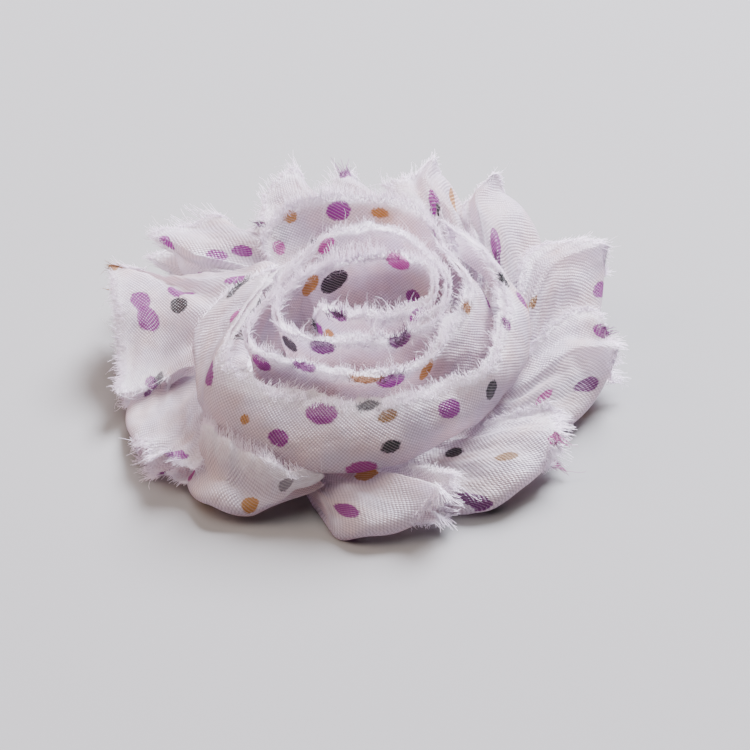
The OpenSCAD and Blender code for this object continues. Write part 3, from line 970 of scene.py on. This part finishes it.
@dataclass(frozen=True)
class NickelPlate(Finish):
    """Nickel-plated spring steel: bright grey with a fine lengthwise grain.

    Attributes:
        colour: Reflected colour.
        worn: Colour where it is a little duller.
        rough: Roughness of the plate.
        deep: Depth of the grain in millimetres.
    """

    title: ClassVar[str] = "nickel-plated spring steel"
    colour: str = "#C9C8C6"
    worn: str = "#A9A7A4"
    rough: float = 0.28
    deep: float = 0.02

    def surface(self, tree: bpy.types.NodeTree) -> Node:
        """Draws the grain, 0.4 mm wide and 17 mm long, and the duller clouds of 4 mm.

        Args:
            tree: The material's tree.
        Returns:
            The surface's shader.
        """
        add = partial(add_node, tree)
        place = add("ShaderNodeTexCoord").outputs["Object"]
        drawn = add("ShaderNodeMapping", {"Vector": place, "Scale": (60.0, 2600.0, 2600.0)})
        grain = add("ShaderNodeTexNoise", {"Vector": drawn, "Scale": 1.0, "Detail": 3.0})
        clouds = add("ShaderNodeTexNoise", {"Vector": place, "Scale": 260.0, "Detail": 3.0})
        colour = add("ShaderNodeMix", [clouds, linear(self.colour), linear(self.worn)],
                     data_type="RGBA")
        rough = add("ShaderNodeMapRange",
                    [grain, 0.0, 1.0, self.rough - 0.08, self.rough + 0.14])
        relief = add("ShaderNodeBump",
                     {"Strength": 0.15, "Distance": self.deep * MM, "Height": grain})
        return add("ShaderNodeBsdfPrincipled", {"Base Color": colour, "Metallic": 1.0,
                                                "Roughness": rough, "Normal": relief})


def rows_at(rows: np.ndarray, x: np.ndarray) -> np.ndarray:
    """Rows of a table at places x, on a smooth curve through its rows.

    Args:
        rows: The table, whose first column rises.
        x: Places in the first column.
    Returns:
        One row for each place.
    """
    keys = rows[:, 0]
    low = np.maximum(np.arange(len(keys)) - 1, 0)
    high = np.minimum(np.arange(len(keys)) + 1, len(keys) - 1)
    slopes = (rows[high] - rows[low]) / (keys[high] - keys[low])[:, None]
    k = np.clip(np.searchsorted(keys, x, side="right") - 1, 0, len(keys) - 2)
    width = (keys[k + 1] - keys[k])[:, None]
    t = (x - keys[k])[:, None] / width
    return ((2 * t ** 3 - 3 * t ** 2 + 1) * rows[k] + (t ** 3 - 2 * t ** 2 + t) * width * slopes[k]
            + (3 * t ** 2 - 2 * t ** 3) * rows[k + 1] + (t ** 3 - t ** 2) * width * slopes[k + 1])


def uneven(points: np.ndarray, seed: int) -> np.ndarray:
    """How long the threads are along an edge, about 1, longer in places."""
    along = lengths(points, 0)
    return np.clip(0.95 + 0.5 * ripple(along, 0 * along, seed, 2.0, 9.0), 0.35, 2.0)


def swell(along: np.ndarray, most: float) -> np.ndarray:
    """Lengths that rise to the most and fall again along a comb of threads."""
    share = (along - along[0]) / (along[-1] - along[0])
    return most * (0.45 + 0.55 * np.sin(math.pi * share) ** 0.7)


@dataclass(kw_only=True)
class FrayedCloth:
    """What both kinds of cloth piece keep for their threads and their print.

    Attributes:
        combs: Where long threads stand, from and to, and their length.
        raw: Its raw edges.
        combed: The stretches of them with long threads.
        chart: Its dots in the flat cloth.
    """

    combs: tuple[tuple[float, float, float], ...] = ()
    raw: list[RawEdge] = field(default_factory=list)
    combed: list[RawEdge] = field(default_factory=list)
    chart: DotChart = field(default_factory=DotChart)

    def comb(self, edge: RawEdge, along: np.ndarray) -> None:
        """Notes the stretches of an edge with long threads.

        Args:
            edge: The edge.
            along: Place of each of its points.
        """
        for first, last, longest in self.combs:
            part = (along >= first) & (along <= last)
            self.combed.append(edge.part(part, swell(along[part], longest)))


@dataclass
class FoldedStrip(FrayedCloth):
    """A strip of chiffon folded lengthwise, fold below and both raw edges above.

    Sizes are in millimetres. Places run from 0 at the fold to 1 at the raw edge.

    Attributes:
        name: The piece's name.
        node: The CAD node that it stands for.
        rows: Table of its path.
        cut: Width and length of the strip before it was folded; not used.
        dots: Its printed dots.
        seed: Chooses its creases.
        fold_half: Half of the fold's thickness.
        raw_half: Half of the distance between the raw edges.
        step: Distance between columns of the mesh.
        fold_points: Points of a layer round the fold, the first of each column.
        levels: Points of a layer from there to the raw edge.
        middle_r: Mean radius, by which places round the turns are measured.
        crease: Depth of its creases.
        drop: How much lower the outer raw edge ends.
        flare: How far a raw edge turns out at most.
        closing: Degrees over which the two ends of the strip close.
        easing: Degrees over which a fringe begins and ends.
        fringes: Turn angles between which the threads are longer, and how much.
    """

    name: str
    node: str
    rows: np.ndarray
    cut: tuple[float, float]
    dots: tuple[Dot, ...]
    seed: int
    fold_half: float = 0.95
    raw_half: float = 0.16
    step: float = 0.45
    fold_points: int = 5
    levels: int = 24
    middle_r: float = 14.0
    crease: float = 0.22
    drop: float = 0.45
    flare: float = 0.2
    closing: float = 7.0
    easing: float = 12.0
    fringes: tuple[tuple[float, float, float], ...] = ()

    def fullness(self, turns: np.ndarray) -> np.ndarray:
        """How long the threads are along a raw edge.

        Args:
            turns: Turn angles.
        Returns:
            One factor for each, 1 for usual.
        """
        full = np.ones(len(turns))
        for first, last, more in self.fringes:
            inside = (smooth((turns - first) / self.easing + 0.5)
                      * smooth((last - turns) / self.easing + 0.5))
            full += (more - 1) * inside
        return full

    def section(self) -> tuple[np.ndarray, np.ndarray, np.ndarray]:
        """One side of the strip's section, from the fold to the raw edge.

        Returns:
            The places, how far below the fold's middle, and half of the thickness.
        """
        turn = np.linspace(0, math.pi / 2, self.fold_points + 1)[:-1]
        up = np.linspace(0, 1, self.levels)
        place = np.concatenate([0 * turn, up])
        below = np.concatenate([self.fold_half * np.cos(turn), 0 * up])
        flat_half = mix(self.raw_half, self.fold_half, (1 - up) ** 3)
        half = np.concatenate([self.fold_half * np.sin(turn), flat_half])
        return place, below, half

    @staticmethod
    def middle(h: np.ndarray, at: np.ndarray) -> tuple[np.ndarray, np.ndarray]:
        """Radius and height of the section's middle line.

        Args:
            h: Rows of the path.
            at: Places on the line.
        Returns:
            The radii and the heights.
        """
        bow = h[..., BULGE] * 4 * at * (1 - at)
        return (mix(h[..., FOLD_R], h[..., EDGE_R], at) + bow,
                mix(h[..., FOLD_Z], h[..., EDGE_Z], at))

    def tatter(self, girth: np.ndarray, side: int) -> np.ndarray:
        """How far a raw edge stands up unevenly, in short steps and long ones.

        Args:
            girth: Places round the turns.
            side: Which layer.
        Returns:
            The heights.
        """
        short = ripple(girth, 0 * girth + side * 9, self.seed + 5, 0.8, 3.4, 12) * 0.22
        return short + ripple(girth, 0 * girth + side * 5, self.seed + 6, 5, 14) * 0.25

    def layer(self, side: int) -> tuple[np.ndarray, np.ndarray, np.ndarray, np.ndarray]:
        """Points of the outer layer (side 1) or the inner layer (side -1).

        Args:
            side: Which layer.
        Returns:
            Turn angles, the grid of points, the grid in the flat cloth, and the grid of
            distances from the raw edge.
        """
        first, last = self.rows[0, TURN], self.rows[-1, TURN]
        reach = math.radians(last - first) * self.rows[:, [EDGE_R, FOLD_R]].mean()
        turns = np.linspace(first, last, int(reach / self.step) + 1)
        h = rows_at(self.rows, turns)[:, None, :]
        place, below, half = (part[None, :] for part in self.section())
        girth = np.radians(turns - first)[:, None] * self.middle_r
        tall = np.hypot(h[..., EDGE_Z] - h[..., FOLD_Z], h[..., EDGE_R] - h[..., FOLD_R])
        top = self.tatter(girth, side) - (self.drop if side > 0 else 0)
        s = place * (1 + top * smooth((place - 0.4) / 0.6) / tall)
        r, z = self.middle(h, s)
        r2, z2 = self.middle(h, s + 0.01)
        size = np.hypot(r2 - r, z2 - z)
        dr, dz = (r2 - r) / size, (z2 - z) / size
        ends = smooth((turns - first) / self.closing) * smooth((last - turns) / self.closing)
        away = side * half * mix(0.25, 1.0, ends)[:, None]
        away = away + side * self.flare * smooth((s - 0.86) / 0.14) * (
            0.5 + 0.5 * ripple(girth, 0 * girth + side, self.seed + 3, 4, 11))
        up_mm = s * tall
        away = away + self.crease * smooth((1.02 - s) / 0.3) * (
            ripple(girth + 0.6 * up_mm, 0.35 * up_mm, self.seed, 5.0, 12.0)
            + 0.3 * ripple(girth, up_mm, self.seed + 1, 1.6, 3.6))
        r = r + away * dz - below * dr
        z = z - away * dr - below * dz
        points = placed(turns[:, None] + h[..., LEAN] * (1 - place), r, np.maximum(z, 0.1))
        flat = np.stack([lengths(points, 0)[:, len(place[0]) // 2, None] + 0 * up_mm,
                         side * lengths(points, 1)], axis=-1)
        loose = np.minimum((1 - place) * tall, np.minimum(girth, girth[-1] - girth))
        return turns, points, flat, loose

    def build(self) -> bpy.types.Object:
        """Builds the strip's mesh and notes its raw edges.

        Returns:
            The strip.
        """
        grids, fold = [], self.fold_points
        levels = self.section()[0][fold:]
        for side in (1, -1):
            turns, points, flat, loose = self.layer(side)
            grids.append(ClothGrid(points, flat, loose, turned=side < 0))
            edge = points[:, -1]
            out = edge - points[:, -3]
            raw = RawEdge(edge, out, side * np.cross(np.gradient(edge, axis=0), out),
                          flat[:, -1], self.fullness(turns) * uneven(edge, self.seed))
            self.raw.append(raw)
            self.comb(raw, turns)
            for end, inner in ((0, 2), (-1, -3)):
                tip_out = points[end, fold:] - points[inner, fold:]
                self.raw.append(RawEdge(points[end, fold:], tip_out, np.roll(tip_out, 1, axis=1),
                                        flat[end, fold:], 1.3 + 0 * tip_out[:, 0]))
            for dot in (d for d in self.dots if d.side == side):
                row = int(np.argmin(abs(turns - dot.along)))
                self.chart.add((flat[row, 0, 0], np.interp(dot.up, levels, flat[row, fold:, 1])),
                               dot)
        return cloth_object(self.name, grids)


@dataclass
class PinwheelPetal(FrayedCloth):
    """A pouch of folded chiffon with a soft side and a frayed side.

    Sizes are in millimetres. Places across, v, run from 0 at the soft side to 1 at the
    frayed side, and places along, u, from 0 at the root to 1 at the rim.

    Attributes:
        number: Its place in the ring, from 0.
        dots: Its printed dots.
        splay: Half of the distance between its raw edges.
        opens: Place across from which the rim is raw. Over 1 the rim is rolled all round,
            and the raw edge stands on top, at the lip.
        rows: Points of a layer across.
        columns: Points of a layer along.
        middle_r: Radius at which its width is measured.
        root_r: Radius of its root.
        root_z: Height of its root.
        root_sweep: Degrees that the root lies behind the rim.
        root_gap: Degrees between its root and the next one.
        swing_from: Radius at which it begins to swing from the root's angle to the rim's.
        swing_to: Radius at which it has swung.
        tip_place: Place across of the frayed tip.
        rise: Place along at which it has risen to the rim's height.
        thick_half: Half of its thickness at the soft side, without the puff.
        lip_r: Radius of the lip.
        lip_rise: How far the lip stands up.
        pleats: Number of pleats at the root.
        pleat: Their depth.
        crease: Depth of the creases.
        wave: Depth of the raw rim's waves.
        tatter: How far the raw rim is uneven.
    """

    number: int
    dots: tuple[Dot, ...]
    splay: float
    opens: float
    rows: int = 84
    columns: int = 34
    middle_r: float = 28.0
    root_r: float = 15.0
    root_z: float = 4.9
    root_sweep: float = 18.0
    root_gap: float = 1.8
    swing_from: float = 16.5
    swing_to: float = 29.0
    tip_place: float = 0.62
    rise: float = 0.65
    thick_half: float = 0.9
    lip_r: float = 25.2
    lip_rise: float = 4.4
    pleats: float = 3.4
    pleat: float = 0.4
    crease: float = 0.3
    wave: float = 0.55
    tatter: float = 0.3

    @property
    def rolled(self) -> bool:
        """True where the rim is rolled all round."""
        return self.opens > 1

    @property
    def node(self) -> str:
        """The CAD node that it stands for."""
        return f"petal_{self.number + 1:02d}"

    @property
    def name(self) -> str:
        """The piece's name."""
        return "chiffon_" + self.node

    @property
    def cut(self) -> tuple[float, float]:
        """The size that it was cut to before it was folded."""
        return PETAL_CUTS[self.number]

    @property
    def seed(self) -> int:
        """Chooses its creases."""
        return 40 + 7 * self.number

    def rim(self, v: np.ndarray) -> np.ndarray:
        """The rim, curved up to the frayed tip and nearly straight beyond it.

        Args:
            v: Places across.
        Returns:
            Angle, radius and height at each.
        """
        row = PETAL_ROWS[self.number]
        soft, belly, tip, side = (row[k:k + 3] for k in (SOFT, BELLY, TIP, SIDE))
        w = (v / self.tip_place)[..., None]
        curved = (1 - w) * (1 - 2 * w) * soft + 4 * w * (1 - w) * belly + w * (2 * w - 1) * tip
        w = ((v - self.tip_place) / (1 - self.tip_place))[..., None]
        straight = mix(tip, side, w) + np.array([0, row[BOW], 0]) * 4 * w * (1 - w)
        return np.where((v < self.tip_place)[..., None], curved, straight)

    def root(self, v: np.ndarray) -> np.ndarray:
        """The root, which ends where the next petal's begins.

        Args:
            v: Places across.
        Returns:
            Angle, radius and height at each.
        """
        if self.number == WIDE:
            w = np.stack([v, v * v, v * v], axis=-1)
            return mix(WIDE_SOFT_ROOT, WIDE_FRAYED_ROOT, w)
        start = PETAL_ROWS[self.number, SOFT] - self.root_sweep
        after = (self.number + 1) % len(PETAL_ROWS)
        end = PETAL_ROWS[after, SOFT] - self.root_sweep - self.root_gap + 360 * (after == 0)
        return np.stack([mix(start, end, v), 0 * v + self.root_r, 0 * v + self.root_z], axis=-1)

    def half_thickness(self, v: np.ndarray, along: np.ndarray) -> np.ndarray:
        """Half of the distance between the layers, with the puff of the soft side.

        Args:
            v: Places across.
            along: Grid of places along.
        Returns:
            The grid of distances.
        """
        puff = PETAL_ROWS[self.number, PUFF] * quarter_round(v / 0.4)
        puff = puff * (1 - 0.75 * smooth((v - 0.6) / 0.4)) * smooth((along - 0.3) / 0.4)
        return mix(self.thick_half, self.splay, smooth((v - 0.45) / 0.4)) + puff / 2

    def relief(self, v: np.ndarray, u: np.ndarray, x_mm: np.ndarray, y_mm: np.ndarray,
               raw_side: np.ndarray) -> np.ndarray:
        """How far both layers rise and fall together.

        Args:
            v: Places across.
            u: Grid of places along.
            x_mm: Grid of distances across.
            y_mm: Grid of distances along.
            raw_side: From 0 where the rim is soft to 1 where it is raw.
        Returns:
            Pleats at the root, creases all over and waves at the raw rim.
        """
        fold = self.pleats * v + 0.12 * ripple(x_mm, y_mm, self.seed + 2, 9, 20, 5)
        pleats = self.pleat * np.sin(2 * math.pi * fold) * (1 - u) ** 0.6 * smooth(u / 0.2)
        creases = self.crease * smooth(u / 0.3) * ripple(
            x_mm, 0.45 * y_mm, self.seed + 3, 4.5, 10)
        waves = self.wave * raw_side * smooth((u - 0.5) / 0.5) * ripple(
            x_mm, 0 * y_mm, self.seed + 4, 3.0, 6.5, 6)
        return pleats + creases + waves

    def layer(self, top: int) -> tuple[np.ndarray, np.ndarray, np.ndarray, np.ndarray,
                                       np.ndarray]:
        """Points of the top layer (1) or the under layer (-1).

        Args:
            top: Which layer.
        Returns:
            Places across, the grid of places along, the grid of points, the flat
            cloth's grid, and the grid of distances from the raw edge.
        """
        v = np.linspace(0, 1, self.rows)[:, None]
        e, o = self.rim(v), self.root(v)
        deep = e[..., 1] - o[..., 1]
        start = 0 * v
        if self.rolled and top > 0:
            start = np.clip((self.lip_r - o[..., 1]) / deep, 0, 0.9)
        u = mix(start, 1, np.sin(np.linspace(0, math.pi / 2, self.columns))[None, :])
        wide = math.radians(abs(e[-1, 0, 0] - e[0, 0, 0])) * self.middle_r
        x_mm, y_mm = v * wide + 0 * u, deep * u
        raw_side = smooth((v - self.opens) / 0.1)
        # Radius, angle and height of the sheet between the layers.
        uneven_rim = raw_side * (
            self.tatter * ripple(v * wide, 0 * v + top * 7, self.seed + 1, 0.9, 3.0, 12)
            + self.tatter * ripple(v * wide, 0 * v + top * 5, self.seed + 6, 3.0, 8.0, 6))
        r = mix(o[..., 1], e[..., 1] + uneven_rim, u)
        along = (r - o[..., 1]) / deep
        low = np.maximum(self.swing_from, o[..., 1])
        span = self.swing_to - self.swing_from
        swing = smooth((r - low) / span) / smooth((e[..., 1] - low) / span)
        a = mix(o[..., 0], e[..., 0], swing)
        z = mix(o[..., 2], e[..., 2], smooth(along / self.rise))
        # The layers meet at the soft side and where the rim is soft or rolled.
        rounding = mix(quarter_round((1 - u) / 0.4), 1.0, raw_side)
        closed = quarter_round(v / 0.09)
        if self.rolled:
            closed = closed * quarter_round((1 - v) / 0.2)
        half = self.half_thickness(v, along)
        own = 0.1 * ripple(x_mm, y_mm, self.seed + 5 + top, 1.6, 4.0) * np.minimum(half, 1)
        height = z + self.relief(v, u, x_mm, y_mm, raw_side) * closed
        height = height + top * half * rounding * closed + own * closed * rounding
        lip = (1 - smooth((u - start) / 0.2)) * (start > 0)
        height = height + lip * (mix(self.lip_rise, 0.6 * self.lip_rise, v)
                                 + 0.3 * ripple(x_mm, 0 * y_mm, self.seed + 9, 2, 8))
        points = placed(a, r, np.maximum(height, 0.08 if top < 0 else 0.3))
        across = lengths(points, 0)
        back = lengths(points[:, ::-1], 1)[:, ::-1]
        flat = np.stack([across - across[-1:] / 2,
                         top * back.mean(axis=0)[None, :] + 0 * x_mm], axis=-1)
        # Where there is no raw edge, its distance is set beyond the whitening's reach.
        none = 9.0
        loose = np.minimum((1 - u) * deep + none * (1 - raw_side),
                           (1 - v) * wide + none * (1 - smooth((u - 0.2) / 0.2)))
        if self.rolled:
            loose = (u - start) * deep + none * (top < 0)
        return v[:, 0], u, points, flat, loose

    def build(self) -> bpy.types.Object:
        """Builds the petal's mesh and notes its raw edges.

        Returns:
            The petal.
        """
        grids = []
        for top in (1, -1):
            v, u, points, flat, loose = self.layer(top)
            grids.append(ClothGrid(points, flat, loose, turned=top > 0))
            for dot in (d for d in self.dots if d.side == top):
                row = int(round(dot.along * (len(v) - 1)))
                self.chart.add([np.interp(dot.up, u[row], flat[row, :, k]) for k in (0, 1)], dot)
            if not self.rolled:
                self.note_rim(top, v, u, points, flat)
            elif top > 0:
                self.note_lip(v, points, flat)
        return cloth_object(self.name, grids)

    def note_lip(self, v: np.ndarray, points: np.ndarray, flat: np.ndarray) -> None:
        """Notes the raw edge of a rolled petal, which stands up as a lip.

        Args:
            v: Places across.
            points: The top layer's grid of points.
            flat: The same in the flat cloth.
        """
        lip = points[:, 0]
        out = lip - points[:, 4]
        face = -np.cross(np.gradient(lip, axis=0), out)
        for edges, full in ((self.raw, 1.7 + 0 * v), (self.combed, swell(v, 2.6))):
            edges.append(RawEdge(lip, out, face, flat[:, 0], full))

    def note_rim(self, top: int, v: np.ndarray, u: np.ndarray, points: np.ndarray,
                 flat: np.ndarray) -> None:
        """Notes the raw part of the rim and the frayed side of one layer.

        Args:
            top: Which layer.
            v: Places across.
            u: Grid of places along.
            points: The layer's grid of points.
            flat: The same in the flat cloth.
        """
        upright = top * np.array([0, 0, 1.0])
        rim = points[:, -1]
        raw = RawEdge(rim, rim - points[:, -4], upright + 0 * rim, flat[:, -1], v)
        frayed = v >= self.opens
        self.raw.append(raw.part(frayed, uneven(rim[frayed], 60 + self.number)))
        self.comb(raw, v)
        high = u[-1] >= 0.3
        side = points[-1, high]
        self.raw.append(RawEdge(side, side - points[-4, high], upright + 0 * side,
                                flat[-1, high], np.ones(len(side))))


@dataclass
class Rosette:
    """The coiled strips and the ring of petals, with their fray.

    Attributes:
        parts: The pieces of cloth.
        first_seed: Chooses the first piece's threads.
        seed_step: From one piece's seed to the next.
    """

    parts: tuple[FrayedCloth, ...]
    first_seed: int = 300
    seed_step: int = 50

    def build(self) -> None:
        """Builds and dresses every piece of cloth with its threads."""
        tree, thread = ThreadTree(), FrayedThread().material()
        for number, part in enumerate(self.parts):
            cloth = part.build()
            PrintedChiffon(part.chart).dress(cloth, part.name)
            kinds = [(kind, part.raw) for kind in (Fray.FLUFF, Fray.COMB, Fray.STRAY, Fray.LINT)]
            kinds.append((Fray.LONG_COMB, part.combed))
            fray = frayed_object(part.name.replace("chiffon", "fray"), kinds, tree, thread,
                                 part.chart, self.first_seed + self.seed_step * number)
            join_frame(cloth, part.node)
            join_frame(fray)
            LOG.info("%s: %d faces, %d thread faces, %d dots", part.name,
                     len(cloth.data.polygons), len(fray.data.polygons), len(part.chart.spots))


@dataclass
class FeltBacking:
    """Hand-cut round of felt under the cloth.

    Attributes:
        radius: Its radius.
        bottom: Height of its underside.
        thick: Its thickness.
        around: Points round its edge.
        profile: The lower half of its section, as shares of radius and thickness.
    """

    radius: float = 15.4
    bottom: float = 2.6
    thick: float = 1.0
    around: int = 180
    profile: tuple[tuple[float, float], ...] = (
        (0.02, 0), (0.5, 0), (0.85, 0), (0.96, 0.02), (0.99, 0.12), (1, 0.3))

    def build(self, finish: Finish) -> None:
        """Builds the backing.

        Args:
            finish: What it is dressed in.
        """
        turn = np.linspace(0, 360, self.around, endpoint=False)
        angle = np.radians(turn)
        # The cut edge wavers by about 0.2 mm, and stays inside the solid's.
        cut = (self.radius - 0.22 + 0.2 * np.sin(3 * angle + 1) * np.cos(5 * angle)
               + 0.04 * np.sin(angle * self.radius * 3.1))
        upper = tuple((share, 1 - level) for share, level in reversed(self.profile))
        rings = [placed(turn, cut * share, 0 * cut + self.bottom + self.thick * level)
                 for share, level in self.profile + upper]
        n = self.around
        faces = [(k * n + j, k * n + (j + 1) % n, (k + 1) * n + (j + 1) % n, (k + 1) * n + j)
                 for k in range(len(rings) - 1) for j in range(n)]
        faces += [tuple(range(n - 1, -1, -1)), tuple(range((len(rings) - 1) * n, len(rings) * n))]
        mesh = bpy.data.meshes.new("felt_backing")
        mesh.from_pydata((np.concatenate(rings) * MM).tolist(), [], faces)
        finish_piece(mesh, finish, "felt_base")


@dataclass
class SpringClip:
    """Flat clip bent from one strip of spring steel, its edges rolled over.

    Attributes:
        edge: Radius of the rolled edges.
        bend: Least angle of an edge that is rolled, in degrees.
    """

    edge: float = 0.14
    bend: float = 50.0

    def build(self, finish: Finish) -> None:
        """Builds the clip from a merged copy of its solid.

        Args:
            finish: What it is dressed in.
        """
        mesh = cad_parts["hair_clip"].data.copy()
        mesh.name = "spring_clip"
        shaped = bmesh.new()
        shaped.from_mesh(mesh)
        bmesh.ops.remove_doubles(shaped, verts=shaped.verts, dist=0.001 * MM)
        bmesh.ops.dissolve_limit(shaped, angle_limit=math.radians(1), verts=shaped.verts,
                                 edges=shaped.edges)
        sharp = [e for e in shaped.edges
                 if len(e.link_faces) == 2 and e.calc_face_angle(0) > math.radians(self.bend)]
        bmesh.ops.bevel(shaped, geom=sharp, offset=self.edge * MM, segments=2, profile=0.5,
                        affect="EDGES")
        shaped.to_mesh(mesh)
        shaped.free()
        finish_piece(mesh, finish, "hair_clip")


@dataclass
class Studio:
    """Pale floor, soft light and the camera at the photograph's angle.

    Attributes:
        elevation: Angle of the camera above the floor, in degrees.
        distance: From the camera to the object's origin, in millimetres.
        scale: Pixels to the millimetre at the origin.
        pixels: Width of the picture.
        shift: The picture's middle, right and up of the origin, in millimetres.
        sensor: Width of the camera's sensor, in millimetres.
        reach: Half of the floor's width, in metres.
        paper: Colour of the floor.
        sky: Colour of the light from all round.
        sky_strength: Its strength.
    """

    elevation: float = 40.0
    distance: float = 420.0
    scale: float = 7.6
    pixels: int = 750
    shift: tuple[float, float] = (1.71, 2.1)
    sensor: float = 36.0
    reach: float = 3.0
    paper: str = "#828181"
    sky: str = "#F6EDE8"
    sky_strength: float = 0.075

    def camera(self) -> None:
        """Sets the camera, level, with the flower in the picture's middle."""
        tilt = math.radians(self.elevation)
        up = Vector((0, math.sin(tilt), math.cos(tilt)))
        back = Vector((0, -math.cos(tilt), math.sin(tilt)))
        data = bpy.data.cameras.new("camera")
        data.sensor_width = self.sensor
        data.lens = self.scale * self.distance * self.sensor / self.pixels
        data.clip_start = 0.01
        data.clip_end = 20.0
        eye = new_object("camera", data)
        centre = Vector((self.shift[0], 0, 0)) + up * self.shift[1]
        eye.location = (centre + back * self.distance) * MM
        eye.rotation_euler = (math.pi / 2 - tilt, 0, 0)
        bpy.context.scene.camera = eye

    def floor(self) -> None:
        """Lays the floor of matt paper, which gives a soft shadow and no gleam."""
        mesh = bpy.data.meshes.new("floor")
        mesh.from_pydata([(x * self.reach, y * self.reach, 0)
                          for x, y in ((-1, -1), (1, -1), (1, 1), (-1, 1))], [], [(0, 1, 2, 3)])
        material = bpy.data.materials.new("pale matt paper")
        material.use_nodes = True
        surface = material.node_tree.nodes["Principled BSDF"]
        surface.inputs["Base Color"].default_value = linear(self.paper)
        surface.inputs["Roughness"].default_value = 0.9
        mesh.materials.append(material)
        new_object("floor", mesh)

    def light(self, name: str, place: tuple[float, float, float], size: float, power: float,
              colour: str) -> None:
        """Hangs a soft light aimed at the flower.

        Args:
            name: Its name.
            place: Where it hangs, in metres.
            size: Its diameter in metres.
            power: In watts.
            colour: Its colour.
        """
        data = bpy.data.lights.new(name, "AREA")
        data.shape = "DISK"
        data.size = size
        data.energy = power
        data.color = linear(colour)[:3]
        lamp = new_object(name, data)
        lamp.location = place
        lamp.rotation_euler = (Vector(place) - Vector((0, 0, 0.01))).to_track_quat(
            "Z", "Y").to_euler()

    def build(self) -> None:
        """Builds the floor, the lights, the surroundings and the camera."""
        self.camera()
        self.floor()
        self.light("window", (0.42, 0.75, 0.8), 0.6, 109.0, "#F1F3FF")
        self.light("room", (-0.8, 0.1, 0.6), 0.6, 8.5, "#FFDCC8")
        self.light("ceiling", (0.0, 0.0, 1.2), 1.0, 14.0, "#FBF4F0")
        world = bpy.data.worlds.new("pale room")
        world.use_nodes = True
        around = world.node_tree.nodes["Background"]
        around.inputs["Color"].default_value = linear(self.sky)
        around.inputs["Strength"].default_value = self.sky_strength
        bpy.context.scene.world = world


def under_dots(number: int) -> tuple[Dot, ...]:
    """Dots on a petal's underside, which the photograph doesn't show."""
    inks = [UNDER_INKS[(number + k) % len(UNDER_INKS)] for k in range(2)]
    return (Dot(0.25 + 0.03 * (number % 4), 0.9, 2.6, inks[0], -1),
            Dot(0.75, 0.62 + 0.04 * (number % 3), 2.3, inks[1], -1))


def dots_of(rows: Sequence[tuple]) -> tuple[Dot, ...]:
    """The dots of a table's rows."""
    return tuple(Dot(*row) for row in rows)


def main() -> None:
    """Builds every piece in order."""
    logging.basicConfig(level=logging.INFO, format="%(message)s")
    Studio().build()
    FeltBacking().build(PressedFelt())
    SpringClip().build(NickelPlate())
    coil = FoldedStrip("chiffon_coil", "rosette_coil", COIL_ROWS, (30, 190), dots_of(COIL_DOTS), 11,
                       fringes=COIL_FRINGES, combs=COIL_COMBS)
    wrap = FoldedStrip("chiffon_wrap", "rosette_wrap", WRAP_ROWS, (22, 82), dots_of(WRAP_DOTS), 23,
                       fringes=WRAP_FRINGES, combs=WRAP_COMBS)
    petals = (PinwheelPetal(k, dots_of(PETAL_DOTS[k]) + under_dots(k), splay, opens, combs=combs)
              for k, (splay, opens, combs) in enumerate(PETAL_FRAYS))
    Rosette((coil, wrap, *petals)).build()


if __name__ == "__main__":
    main()
